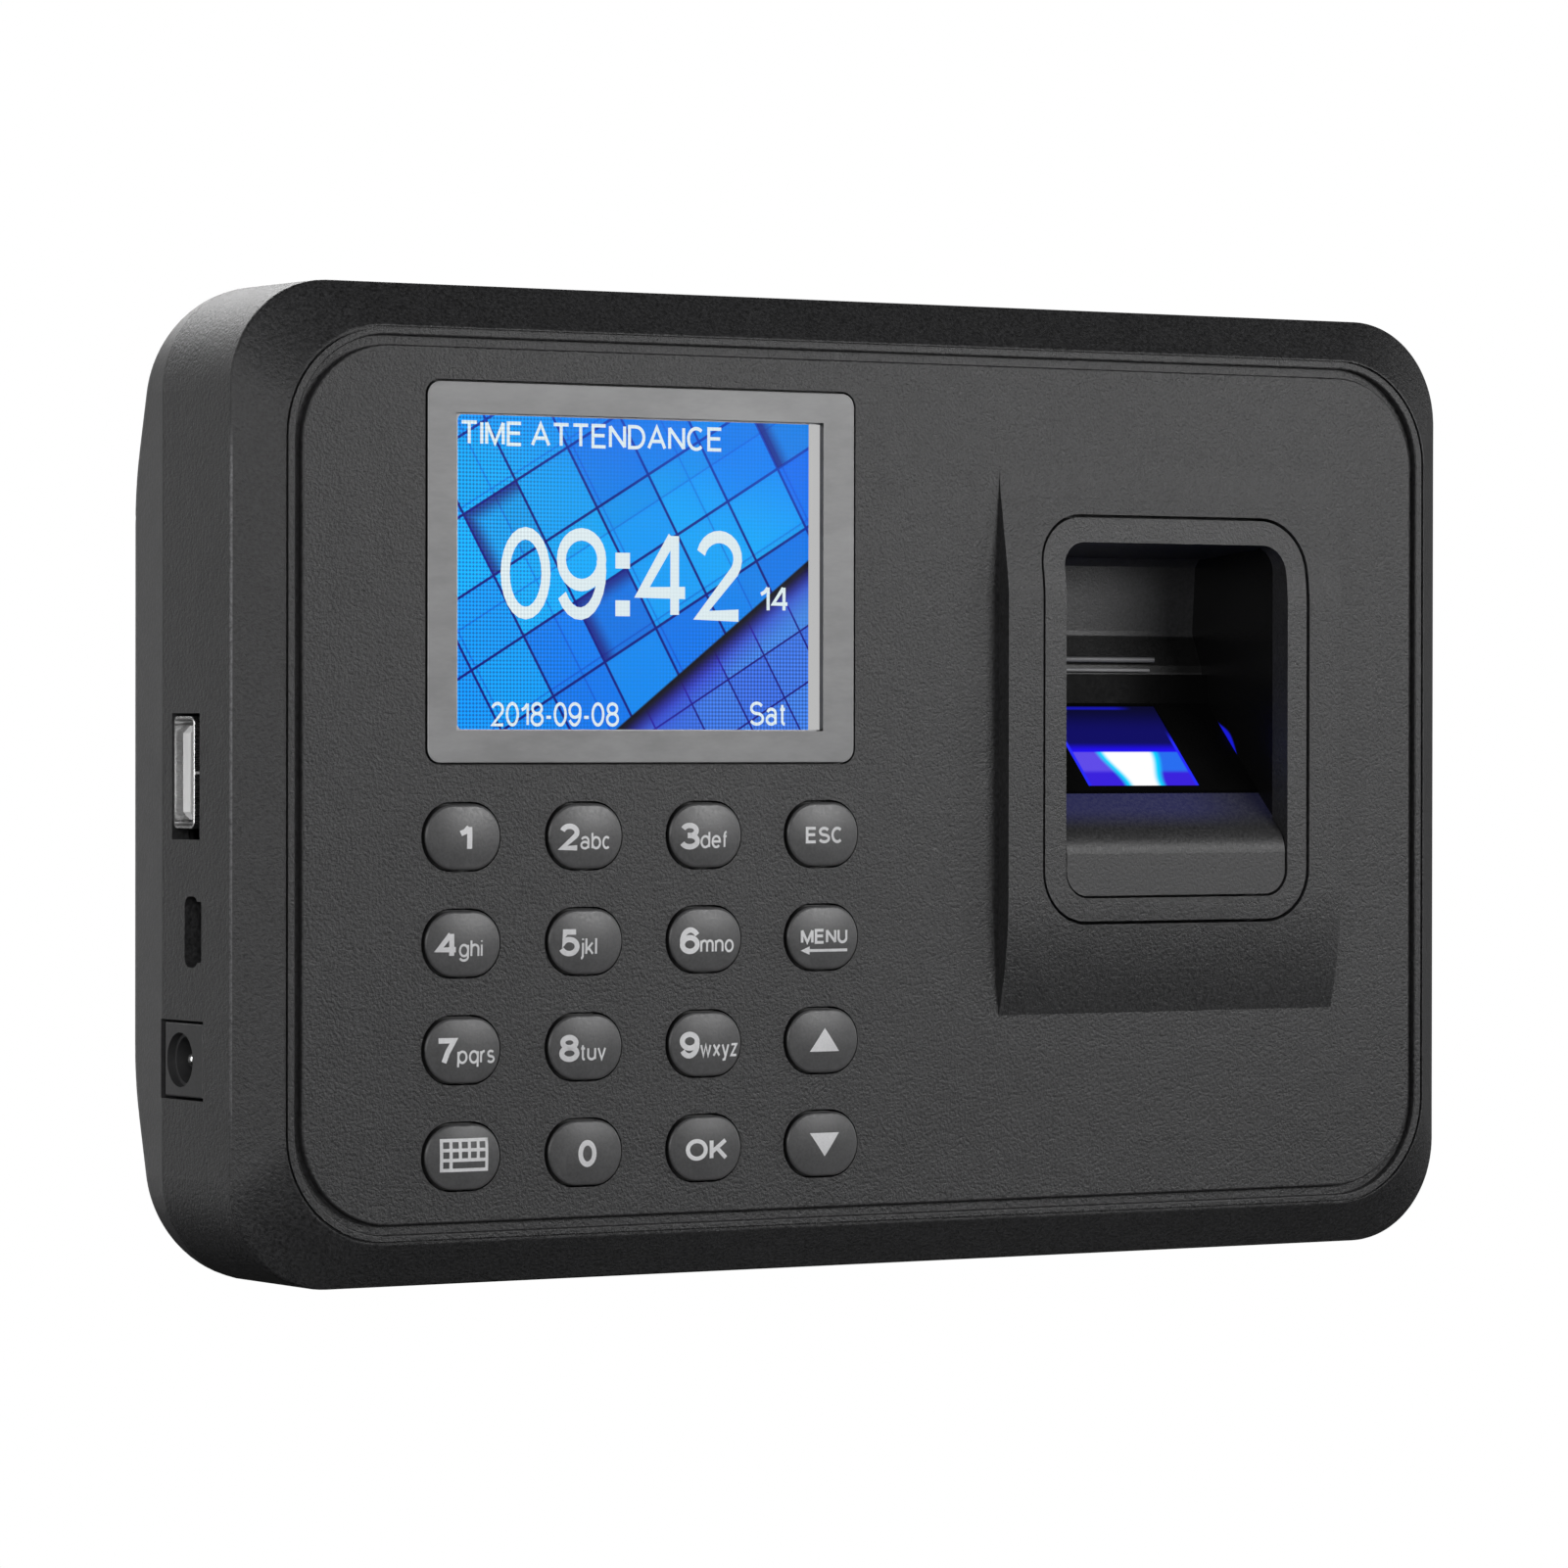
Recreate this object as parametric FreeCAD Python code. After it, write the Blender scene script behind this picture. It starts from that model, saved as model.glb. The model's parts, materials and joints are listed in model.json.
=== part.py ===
import FreeCAD, Part
import math
import os
from FreeCAD import Vector

os.makedirs("parts", exist_ok=True)

# Fingerprint time-attendance terminal, in millimetres.
# X runs to the right as seen from the front, Z runs up, and the front faces -Y.
# The wall plane is Y = 0. A depth is measured into the object from the front panel's face.
TOTAL_DEPTH = 31.0
PANEL_Y = -TOTAL_DEPTH

# Casing
CASE_SIZE = (175.2, 117.6, 12.7)
RIM_SIZE = (165.6, 107.2, 13.2)
BEAD_SIZE = (162.8, 104.8, 12.2)
PANEL_SIZE = (161.0, 102.6, 11.6)
CHAMFER_DEPTH = 4.25
GROOVE_DEPTH = 0.9
BEAD_STEP = (0.15, 0.32, 0.5)
PANEL_WALL = 2.3
INNER_SIZE = (170.8, 113.2, 10.5)
INNER_RIM_SIZE = (161.8, 103.4, 11.0)
INNER_SHOULDER = 6.0
PARTING_DEPTH = 21.15
SEAM_GAP = 0.06
REAR_TAPER_DEG = 5.0
REAR_FLAT_HALF = 35.5
REAR_SLOPE_DEG = 17.5
REAR_BEND_RADIUS = 30.0
REAR_EDGE_RADIUS = 2.0
REAR_WALL = 2.0
TONGUE_SIZE = (170.6, 113.0, 10.4)
TONGUE_WALL = 1.2
TONGUE_START = 19.9

# Raised sensor block on the front panel: centre X, width, and its height over the panel
HOOD_X = 42.4
HOOD_WIDTH = 51.0
HOOD_RAISE = 2.12
HOOD_TOP = 39.4
HOOD_BOTTOM = -28.6
HOOD_BLEND_RADIUS = 25.3
HOOD_RAMP_DEG = 9.1
HOOD_SWEEP_START = -14.0

# Sensor ring and finger well
RING_CENTRE = (42.5, 7.86)
RING_SIZE = (40.1, 50.0, 6.2)
RING_GAP = 0.4
WELL_CENTRE = (42.6, 7.75)
WELL_SIZE = (34.0, 44.1, 3.3)
RING_BACK = 3.6
RING_FLANGE = 1.4
HOUSING_FRONT = 1.2
HOUSING_BACK = 20.2
HOUSING_WALL = 1.8
GLASS_LOW = (-0.35, 4.9)
GLASS_HIGH = (9.6, 14.8)
GLASS_WIDTH = 17.0
FRAME_THICKNESS = 1.0
FRAME_TOP = 13.65
LIP_FRONT = -1.8
LIP_RADIUS = 4.0
BACK_WALL_LOW = 18.6
RIBS = ((15.5, 16.3, 0.42, 51.8), (14.15, 15.95, 0.24, 50.9))

# Display
LENS_CENTRE = (-34.24, 24.9)
LENS_SIZE = (59.45, 44.65, 1.7)
LENS_PROUD = 0.15
LENS_BACK = 0.65
PRINT_BACK = 0.75
TAPE_BACK = 0.95
WINDOW_CENTRE = (-33.95, 24.96)
WINDOW_SIZE = (51.1, 36.9, 0.6)
LCD_CENTRE = (-34.35, 24.96)
LCD_SIZE = (57.4, 41.0, 0.8)
TRAY_SIZE = (60.2, 42.7, 1.0)
LCD_FRONT = 1.8
LCD_BACK = 3.4
TRAY_BACK = 4.8

# Keypad
KEY_COLUMNS = (-59.35, -42.63, -25.90, -9.18)
KEY_ROWS = (-6.10, -18.59, -31.07, -43.56)
KEY_NAMES = (
    ("key_1", "key_2", "key_3", "key_esc"),
    ("key_4", "key_5", "key_6", "key_menu"),
    ("key_7", "key_8", "key_9", "key_up"),
    ("key_input", "key_0", "key_ok", "key_down"),
)
KEY_HOLE = (10.72, 8.24, 4.05)
KEY_CAP = (10.22, 7.74, 3.8)
KEY_PROUD = 0.95
KEY_DOME_RADIUS = 26.0
KEY_EDGE = 0.4
KEY_FLANGE = (12.4, 9.8, 4.6)
KEY_FLANGE_FRONT = 2.55
KEY_FLANGE_BACK = 3.45
KEY_FOOT_RADIUS = 2.2
KEY_FOOT_BACK = 8.5

# Circuit board
BOARD_FRONT = 9.6
BOARD_BACK = 11.2
BOARD_LEFT = -83.5
BOARD_RIGHT = 17.5
BOARD_HALF = 54.6
BOARD_NOTCH = (10.5, 11.5)

# Fasteners: (shank radius, head radius, head height)
CASE_SCREW = (1.45, 2.8, 2.0)
SMALL_SCREW = (1.0, 2.0, 1.5)
CASE_SCREW_PLACES = [(x, z) for x in (-78.5, 78.5) for z in (-49.0, 49.0)]
BOARD_SCREW_PLACES = [(-69.5, 50.8), (12.0, 50.8), (-69.5, -51.6), (12.0, -51.6)]
SENSOR_SCREW_PLACES = [(20.9, 25.0), (64.0, 25.0), (20.9, -9.0), (64.0, -9.0)]
SCREW_PLAY = 0.05

# Ports on the left side: centre depth, centre Z
SIDE_X = -CASE_SIZE[0] / 2
USB_CENTRE = (16.1, 1.4)
USB_SIZE = (5.12, 13.14)
USB_RECESS = 0.15
USB_HOLE = ((11.87, 18.79), (-6.42, 8.34))
MINI_CENTRE = (13.96, -17.17)
MINI_SIZE = (3.9, 7.7)
MINI_RECESS = 2.4
MINI_HOLE = ((12.3, 15.6), (-21.32, -13.03))
MINI_HOLE_RADIUS = 1.2
MINI_RELIEF = ((11.15, 12.9), (-20.75, -13.6), 0.45)
JACK_FRONT = 11.13
JACK_SIZE = (9.42, 8.7)
JACK_GAP = 0.3
JACK_RECESS = 0.05
JACK_Z = -32.2
JACK_HOLE_DEPTH = 16.82
JACK_MOUTH_RADIUS = 3.2
JACK_BORE_RADIUS = 2.75
JACK_MOUTH_LENGTH = 1.0
JACK_PIN_RADIUS = 1.0

# Speaker on the right of the rear shell
SPEAKER_X = 73.6
SPEAKER_Z = -10.0
SPEAKER_SIZE = (17.0, 30.0, 8.4)
SPEAKER_FRONT = 24.4
SPEAKER_BACK = 28.8

# Wall bracket and its recess
RECESS_SIZE = (122.0, 64.0, 3.0)
RECESS_DEPTH = 4.2
PLATE_SIZE = (118.0, 60.0, 2.0)
PLATE_THICKNESS = 1.5
WALL_HOLE_RADIUS = 2.25
WALL_HOLE_PLACES = [(x, z) for x in (-45.0, 45.0) for z in (-18.0, 18.0)]
HOOK_PLACES = [(x, z) for x in (-28.0, 28.0) for z in (-14.0, 10.0)]
HOOK_NECK = 8.0
HOOK_NOSE = 3.0
LOCK_SCREW_DEPTH = 28.9
LOCK_BOSS = (10.0, 7.0)


def corner_point(x, z, radius, angle, depth):
    """Point on a corner arc in an XZ plane."""
    turn = math.radians(angle)
    return Vector(x + radius * math.cos(turn), PANEL_Y + depth, z + radius * math.sin(turn))


def outline(centre, size, depth):
    """Closed round-cornered rectangle in the XZ plane at a depth."""
    width, height, radius = size
    half_x = width / 2 - radius
    half_z = height / 2 - radius
    corners = [(half_x, half_z), (-half_x, half_z), (-half_x, -half_z), (half_x, -half_z)]
    edges = []
    for index, (x, z) in enumerate(corners):
        start = 90 * index
        after_x, after_z = corners[(index + 1) % 4]
        angles = (start, start + 45, start + 90)
        arc = [corner_point(centre[0] + x, centre[1] + z, radius, a, depth) for a in angles]
        line_end = corner_point(centre[0] + after_x, centre[1] + after_z, radius, start + 90, depth)
        edges.append(Part.Arc(*arc).toShape())
        edges.append(Part.makeLine(arc[2], line_end))
    return Part.Wire(edges)


def slab(centre, size, front, back):
    """Round-cornered plate between two depths."""
    return Part.Face(outline(centre, size, front)).extrude(Vector(0, back - front, 0))


def grown(size, margin):
    """The same round-cornered rectangle, larger all round by a margin."""
    return (size[0] + 2 * margin, size[1] + 2 * margin, size[2] + margin)


def block(x_range, depth_range, z_range):
    """Plain box from ranges in X, depth and Z."""
    corner = Vector(x_range[0], PANEL_Y + depth_range[0], z_range[0])
    size = (x_range[1] - x_range[0], depth_range[1] - depth_range[0], z_range[1] - z_range[0])
    return Part.makeBox(*size, corner)


def rod(x, z, radius, front, back):
    """Cylinder along the depth."""
    return Part.makeCylinder(radius, back - front, Vector(x, PANEL_Y + front, z), Vector(0, 1, 0))


def side_rod(x_start, x_end, depth, z, radius):
    """Cylinder along X."""
    return Part.makeCylinder(radius, x_end - x_start, Vector(x_start, PANEL_Y + depth, z), Vector(1, 0, 0))


def upright_rod(x, depth, z_start, z_end, radius):
    """Cylinder along Z."""
    return Part.makeCylinder(radius, z_end - z_start, Vector(x, PANEL_Y + depth, z_start), Vector(0, 0, 1))


def section_point(x, point):
    """A (Z, depth) section point placed at an X."""
    return Vector(x, PANEL_Y + point[1], point[0])


def section_prism(points, x_start, x_end):
    """Closed polygon of (Z, depth) points, extruded along X."""
    corners = [section_point(x_start, point) for point in points]
    face = Part.Face(Part.makePolygon(corners + corners[:1]))
    return face.extrude(Vector(x_end - x_start, 0, 0))


def plan_prism(points, z_start, z_end):
    """Closed polygon of (X, depth) points, extruded along Z."""
    corners = [Vector(x, PANEL_Y + depth, z_start) for x, depth in points]
    face = Part.Face(Part.makePolygon(corners + corners[:1]))
    return face.extrude(Vector(0, 0, z_end - z_start))


def joined(shapes):
    """One solid from overlapping shapes."""
    return shapes[0].fuse(shapes[1:]).removeSplitter()


def without(shape, tools):
    """The shape with every tool cut away."""
    return shape.cut(tools).removeSplitter()


def edges_at_depth(shape, depth, inside=None):
    """Edges that lie wholly at one depth, optionally only those inside an (X, Z) half size."""
    found = []
    for edge in shape.Edges:
        box = edge.BoundBox
        flat = abs(box.YMin - PANEL_Y - depth) < 1e-4 and abs(box.YMax - PANEL_Y - depth) < 1e-4
        if flat and (inside is None or (box.XMax < inside[0] and box.XMin > -inside[0]
                                        and box.ZMax < inside[1] and box.ZMin > -inside[1])):
            found.append(edge)
    return found


def save(name, shape):
    """Write one sub-part."""
    shape.exportStep("parts/" + name + ".step")


def screw(x, z, seat, direction, dims, length):
    """Pan-head cross-slot screw along the depth. direction is -1 when the tip points to the front."""
    shank_radius, head_radius, head_height = dims
    tip = seat + direction * length
    top = seat - direction * head_height
    shank = rod(x, z, shank_radius, min(seat, tip), max(seat, tip))
    head = rod(x, z, head_radius, min(seat, top), max(seat, top))
    crown = [e for e in head.Edges if len(e.Vertexes) == 1 and abs(e.BoundBox.YMin - PANEL_Y - top) < 0.01]
    head = head.makeFillet(head_height * 0.35, crown)
    slot_depths = sorted((top, top + direction * head_height * 0.6))
    arm = head_radius * 0.6
    blade = head_radius * 0.13
    cross = [
        block((x - arm, x + arm), slot_depths, (z - blade, z + blade)),
        block((x - blade, x + blade), slot_depths, (z - arm, z + arm)),
    ]
    return without(joined([shank, head]), cross)


# ---------------------------------------------------------------- casing

def front_outside():
    """Skirt, sloping rim and small rounds of the front casing."""
    skirt = slab((0, 0), CASE_SIZE, CHAMFER_DEPTH, PARTING_DEPTH)
    slope = Part.makeLoft([outline((0, 0), RIM_SIZE, 0), outline((0, 0), CASE_SIZE, CHAMFER_DEPTH)], True, True)
    body = joined([skirt, slope])
    body = body.makeFillet(0.5, edges_at_depth(body, CHAMFER_DEPTH))
    return body.makeFillet(0.3, edges_at_depth(body, 0))


def front_inside():
    """Hollow of the front casing."""
    shoulder = Part.makeLoft(
        [outline((0, 0), INNER_RIM_SIZE, PANEL_WALL), outline((0, 0), INNER_SIZE, INNER_SHOULDER)], True, True)
    return joined([shoulder, slab((0, 0), INNER_SIZE, INNER_SHOULDER, PARTING_DEPTH)])


def hood_solid(sink=0.0):
    """Raised sensor block: a short ramp at the top, a flat face and a long sweep at the bottom."""
    left = HOOD_X - HOOD_WIDTH / 2
    ramp = math.radians(HOOD_RAMP_DEG)
    arc_run = HOOD_BLEND_RADIUS * math.sin(ramp)
    arc_rise = HOOD_BLEND_RADIUS * (1 - math.cos(ramp))
    half_run = HOOD_BLEND_RADIUS * math.sin(ramp / 2)
    half_rise = HOOD_BLEND_RADIUS * (1 - math.cos(ramp / 2))
    line_run = (HOOD_RAISE - 2 * arc_rise) / math.tan(ramp)
    flat_top = HOOD_TOP - 2 * arc_run - line_run
    sweep_run = HOOD_SWEEP_START - HOOD_BOTTOM
    sweep_radius = (sweep_run ** 2 + HOOD_RAISE ** 2) / (2 * HOOD_RAISE)
    sweep_mid = sweep_radius - math.sqrt(sweep_radius ** 2 - (sweep_run / 2) ** 2)

    def at(z, raise_by):
        return section_point(left, (z, sink - raise_by))

    foot = PANEL_WALL / 2
    edges = [
        Part.Arc(at(HOOD_TOP, 0), at(HOOD_TOP - half_run, half_rise), at(HOOD_TOP - arc_run, arc_rise)).toShape(),
        Part.makeLine(at(HOOD_TOP - arc_run, arc_rise), at(flat_top + arc_run, HOOD_RAISE - arc_rise)),
        Part.Arc(at(flat_top + arc_run, HOOD_RAISE - arc_rise), at(flat_top + half_run, HOOD_RAISE - half_rise),
                 at(flat_top, HOOD_RAISE)).toShape(),
        Part.makeLine(at(flat_top, HOOD_RAISE), at(HOOD_SWEEP_START, HOOD_RAISE)),
        Part.Arc(at(HOOD_SWEEP_START, HOOD_RAISE), at(HOOD_SWEEP_START - sweep_run / 2, HOOD_RAISE - sweep_mid),
                 at(HOOD_BOTTOM, 0)).toShape(),
        Part.makeLine(at(HOOD_BOTTOM, 0), at(HOOD_BOTTOM, -foot)),
        Part.makeLine(at(HOOD_BOTTOM, -foot), at(HOOD_TOP, -foot)),
        Part.makeLine(at(HOOD_TOP, -foot), at(HOOD_TOP, 0)),
    ]
    return Part.Face(Part.Wire(edges)).extrude(Vector(HOOD_WIDTH, 0, 0))


def groove():
    """Channel between the raised bead and the panel."""
    return slab((0, 0), BEAD_SIZE, -1, GROOVE_DEPTH).cut(slab((0, 0), PANEL_SIZE, -2, GROOVE_DEPTH + 1))


def bead_line():
    """Fine line just inside the sloping rim: inset, width and depth come from BEAD_STEP."""
    inset, width, depth = BEAD_STEP
    outer = grown(RIM_SIZE, -inset)
    return slab((0, 0), outer, -1, depth).cut(slab((0, 0), grown(outer, -width), -2, depth + 1))


def port_openings():
    """Holes in the left wall for the two USB ports and the power jack."""
    through = (SIDE_X - 1, SIDE_X + 4)
    mini = block(through, *MINI_HOLE)
    mini = mini.makeFillet(MINI_HOLE_RADIUS, [e for e in mini.Edges if e.BoundBox.XLength > 1])
    relief_depths, relief_heights, relief = MINI_RELIEF
    mini_relief = block((SIDE_X - 1, SIDE_X + relief), relief_depths, relief_heights)
    usb = block(through, *USB_HOLE)
    jack = block(through, (JACK_FRONT - 0.15, PARTING_DEPTH + 1), jack_heights(JACK_GAP))
    return [usb, mini, mini_relief, jack]


def jack_heights(margin):
    """Z range of the power jack, larger each way by a margin."""
    half = JACK_SIZE[1] / 2 + margin
    return (JACK_Z - half, JACK_Z + half)


def front_posts():
    """Posts inside the front casing for the case, board and sensor screws."""
    posts = [rod(x, z, 3.5, 3.5, 17.0) for x, z in CASE_SCREW_PLACES]
    posts += [rod(x, z, 2.7, 1.0, BOARD_FRONT) for x, z in BOARD_SCREW_PLACES]
    posts += [rod(x, z, 2.6, 1.0, 7.8) for x, z in SENSOR_SCREW_PLACES]
    return posts


def front_pilot_holes():
    """Screw holes in the posts."""
    holes = [rod(x, z, CASE_SCREW[0] + SCREW_PLAY, 8.0, 18.0) for x, z in CASE_SCREW_PLACES]
    holes += [rod(x, z, SMALL_SCREW[0] + SCREW_PLAY, 4.0, 10.0) for x, z in BOARD_SCREW_PLACES]
    holes += [rod(x, z, SMALL_SCREW[0] + SCREW_PLAY, 3.2, 8.5) for x, z in SENSOR_SCREW_PLACES]
    return holes


def front_shell():
    """Front casing with bead, groove, raised block, openings and posts."""
    shell = front_outside().cut(front_inside())
    shell = joined([shell, hood_solid()] + front_posts())
    lens_pocket = slab(LENS_CENTRE, grown(LENS_SIZE, 0.25), -1, TAPE_BACK)
    window = slab(WINDOW_CENTRE, grown(WINDOW_SIZE, 1.2), -1, 4)
    lcd_pocket = slab(LCD_CENTRE, grown(TRAY_SIZE, 0.3), LCD_FRONT - 0.1, 6)
    ring_hole = slab(RING_CENTRE, grown(RING_SIZE, RING_GAP), -4, 4)
    key_holes = [slab((x, z), KEY_HOLE, -1, 4) for x in KEY_COLUMNS for z in KEY_ROWS]
    tools = [groove(), bead_line(), lens_pocket, window, lcd_pocket, ring_hole] + key_holes
    shell = without(shell, tools + port_openings() + front_pilot_holes())
    rims = edges_at_depth(shell, 0, inside=(BEAD_SIZE[0] / 2 + 0.1, BEAD_SIZE[1] / 2 + 0.1))
    long_rims = [e for e in rims if e.BoundBox.XMin < -79 or e.BoundBox.XMax > 79 or abs(e.BoundBox.ZMin) > 50]
    return shell.makeFillet(0.25, long_rims)


def rear_section(inset):
    """Rear casing's (Z, depth) section as an extruded solid: flat back that bends to a slope each way."""
    slope = math.radians(REAR_SLOPE_DEG)
    back = TOTAL_DEPTH - inset
    run = REAR_BEND_RADIUS * math.tan(slope / 2)
    bend = REAR_FLAT_HALF - inset * math.tan(slope / 2)
    reach = 70.0
    half = CASE_SIZE[0]
    far_depth = back - (reach - bend) * math.tan(slope)
    mid_angle = slope / 2

    def at(z, depth):
        return section_point(-half, (z, depth))

    def bend_arc(side):
        start = at(side * (bend - run), back)
        middle = at(side * (bend - run + REAR_BEND_RADIUS * math.sin(mid_angle)),
                    back - REAR_BEND_RADIUS * (1 - math.cos(mid_angle)))
        end = at(side * (bend + run * math.cos(slope)), back - run * math.sin(slope))
        return start, middle, end

    top = bend_arc(1)
    low = bend_arc(-1)
    edges = [
        Part.makeLine(low[0], top[0]),
        Part.Arc(*top).toShape(),
        Part.makeLine(top[2], at(reach, far_depth)),
        Part.makeLine(at(reach, far_depth), at(reach, 10)),
        Part.makeLine(at(reach, 10), at(-reach, 10)),
        Part.makeLine(at(-reach, 10), at(-reach, far_depth)),
        Part.makeLine(at(-reach, far_depth), low[2]),
        Part.Arc(low[2], low[1], low[0]).toShape(),
    ]
    return Part.Face(Part.Wire(edges)).extrude(Vector(2 * half, 0, 0))


def rear_solid(inset):
    """Tapered rear casing body, moved inwards by an inset."""
    start = PARTING_DEPTH + SEAM_GAP
    shrink = math.tan(math.radians(REAR_TAPER_DEG)) * (TOTAL_DEPTH + 1 - start)
    near = grown(CASE_SIZE, -inset)
    far = grown(CASE_SIZE, -inset - shrink)
    tapered = Part.makeLoft([outline((0, 0), near, start), outline((0, 0), far, TOTAL_DEPTH + 1)], True, True)
    return tapered.common(rear_section(inset))


def speaker_grille():
    """Rows of round holes behind the speaker."""
    columns = [SPEAKER_X + step * 4.0 for step in (-1, 0, 1)]
    rows = [SPEAKER_Z + step * 4.0 for step in (-3, -2, -1, 0, 1, 2, 3)]
    return [rod(x, z, 0.9, 27, 33) for x in columns for z in rows]


def hook_slots():
    """Slots in the recess floor for the bracket's hooks."""
    return [block((x - 1.4, x + 1.4), (23, 30), (z - 3.2, z + HOOK_NECK + 0.3)) for x, z in HOOK_PLACES]


def rear_shell():
    """Rear casing: hollow, locating tongue, screw posts, bracket recess, grille and lock-screw boss."""
    outside = rear_solid(0)
    rim_edges = [e for e in outside.Edges if e.BoundBox.YMin > PANEL_Y + PARTING_DEPTH + 1.2
                 and (e.BoundBox.ZLength > 8 or abs(e.BoundBox.ZMin) > 50 or e.BoundBox.XLength < 20)]
    outside = outside.makeFillet(REAR_EDGE_RADIUS, rim_edges)
    recess_floor = TOTAL_DEPTH - RECESS_DEPTH
    recess_wall = slab((0, 0), grown(RECESS_SIZE, REAR_WALL), recess_floor - REAR_WALL, TOTAL_DEPTH + 2)
    boss_z = -RECESS_SIZE[1] / 2
    boss = block((-LOCK_BOSS[0] / 2, LOCK_BOSS[0] / 2), (recess_floor - REAR_WALL, TOTAL_DEPTH + 2),
                 (boss_z - LOCK_BOSS[1], boss_z))
    posts = [rod(x, z, 3.7, 17.2, TOTAL_DEPTH + 2) for x, z in CASE_SCREW_PLACES]
    hollow = rear_solid(REAR_WALL).cut([recess_wall, boss] + posts)
    tongue = slab((0, 0), TONGUE_SIZE, TONGUE_START, PARTING_DEPTH + SEAM_GAP + 1.5)
    tongue = tongue.cut(slab((0, 0), grown(TONGUE_SIZE, -TONGUE_WALL), TONGUE_START - 1, PARTING_DEPTH + 4))
    post_ends = [rod(x, z, 3.7, 17.2, PARTING_DEPTH + 1) for x, z in CASE_SCREW_PLACES]
    shell = joined([outside.cut(hollow), tongue] + post_ends)
    jack_notch = block((SIDE_X - 1, SIDE_X + 5), (TONGUE_START - 1, 21.56), jack_heights(JACK_GAP))
    tools = [slab((0, 0), RECESS_SIZE, recess_floor, TOTAL_DEPTH + 3), jack_notch]
    tools += [rod(x, z, CASE_SCREW[0] + 0.2, 16, 25) for x, z in CASE_SCREW_PLACES]
    tools += [rod(x, z, CASE_SCREW[1] + 0.4, 21.0, TOTAL_DEPTH + 2) for x, z in CASE_SCREW_PLACES]
    tools.append(upright_rod(0, LOCK_SCREW_DEPTH, boss_z - 12, boss_z + 1, SMALL_SCREW[0] + 0.4))
    tools.append(upright_rod(0, LOCK_SCREW_DEPTH, boss_z - 20, boss_z - 4, SMALL_SCREW[1] + 0.4))
    return without(shell, tools + speaker_grille() + hook_slots())


# ---------------------------------------------------------------- display

def display_lens():
    """Clear cover window with softened front edges."""
    lens = slab(LENS_CENTRE, LENS_SIZE, -LENS_PROUD, LENS_BACK)
    return lens.makeFillet(0.18, edges_at_depth(lens, -LENS_PROUD))


def lens_print():
    """Printed border on the back of the cover window."""
    sheet = slab(LENS_CENTRE, LENS_SIZE, LENS_BACK, PRINT_BACK)
    return without(sheet, [slab(WINDOW_CENTRE, WINDOW_SIZE, 0, 2)])


def lens_tape():
    """Adhesive frame under the window."""
    sheet = slab(LENS_CENTRE, grown(LENS_SIZE, -0.2), PRINT_BACK, TAPE_BACK)
    return without(sheet, [slab(WINDOW_CENTRE, grown(WINDOW_SIZE, 1.4), 0, 2)])


def lcd_panel():
    """Liquid-crystal glass."""
    return slab(LCD_CENTRE, LCD_SIZE, LCD_FRONT, LCD_BACK)


def lcd_backlight():
    """Tray with the backlight, round the glass."""
    tray = slab(LCD_CENTRE, TRAY_SIZE, LCD_FRONT + 0.2, TRAY_BACK)
    return without(tray, [slab(LCD_CENTRE, grown(LCD_SIZE, 0.1), 0, LCD_BACK)])


def lcd_ribbon():
    """Flat cable that folds from the back of the tray to the board."""
    left = LCD_CENTRE[0] + 12
    bend = 1.6
    upper = TRAY_BACK + 0.15
    lower = upper + 2 * bend
    right = LCD_CENTRE[0] + TRAY_SIZE[0] / 2 + 4
    thick = 0.15
    centre = Vector(right, PANEL_Y + upper + bend, 0)

    def line(x_start, x_end, depth):
        return block((x_start, x_end), (depth - thick / 2, depth + thick / 2), (14.0, 36.0))

    outer = Part.makeCylinder(bend + thick / 2, 22.0, centre + Vector(0, 0, 14.0), Vector(0, 0, 1))
    inner = Part.makeCylinder(bend - thick / 2, 22.0, centre + Vector(0, 0, 14.0), Vector(0, 0, 1))
    fold = outer.cut(inner).cut(block((right - 5, right), (0, 20), (0, 50)))
    return joined([line(left, right, upper), fold, line(right - 18, right, lower)])


# ---------------------------------------------------------------- keypad

def key(x, z):
    """One key: domed cap, flange under the panel and foot with its carbon pill."""
    cap = slab((x, z), KEY_CAP, -KEY_PROUD - 1, KEY_FLANGE_FRONT)
    dome_centre = Vector(x, PANEL_Y - KEY_PROUD + KEY_DOME_RADIUS, z)
    cap = cap.common(Part.makeSphere(KEY_DOME_RADIUS, dome_centre, Vector(0, 0, 1)))
    crown = [e for e in cap.Edges if e.BoundBox.YMax < PANEL_Y - 0.05]
    cap = cap.makeFillet(KEY_EDGE, crown)
    flange = slab((x, z), KEY_FLANGE, KEY_FLANGE_FRONT, KEY_FLANGE_BACK)
    foot = rod(x, z, KEY_FOOT_RADIUS, KEY_FLANGE_BACK, KEY_FOOT_BACK)
    return joined([cap, flange, foot])


def keypad_mat():
    """Silicone web on the board, with a clear hole round every foot."""
    centre = (sum(KEY_COLUMNS) / 4, sum(KEY_ROWS) / 4)
    sheet = slab(centre, (67.0, 50.0, 3.0), 8.3, BOARD_FRONT)
    return without(sheet, [rod(x, z, 3.0, 7, 10) for x in KEY_COLUMNS for z in KEY_ROWS])


def key_contacts():
    """Carbon contact pads on the board, one under every key."""
    pads = [rod(x, z, 2.6, BOARD_FRONT - 0.05, BOARD_FRONT) for x in KEY_COLUMNS for z in KEY_ROWS]
    return Part.makeCompound(pads)


# ---------------------------------------------------------------- circuit board

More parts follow.
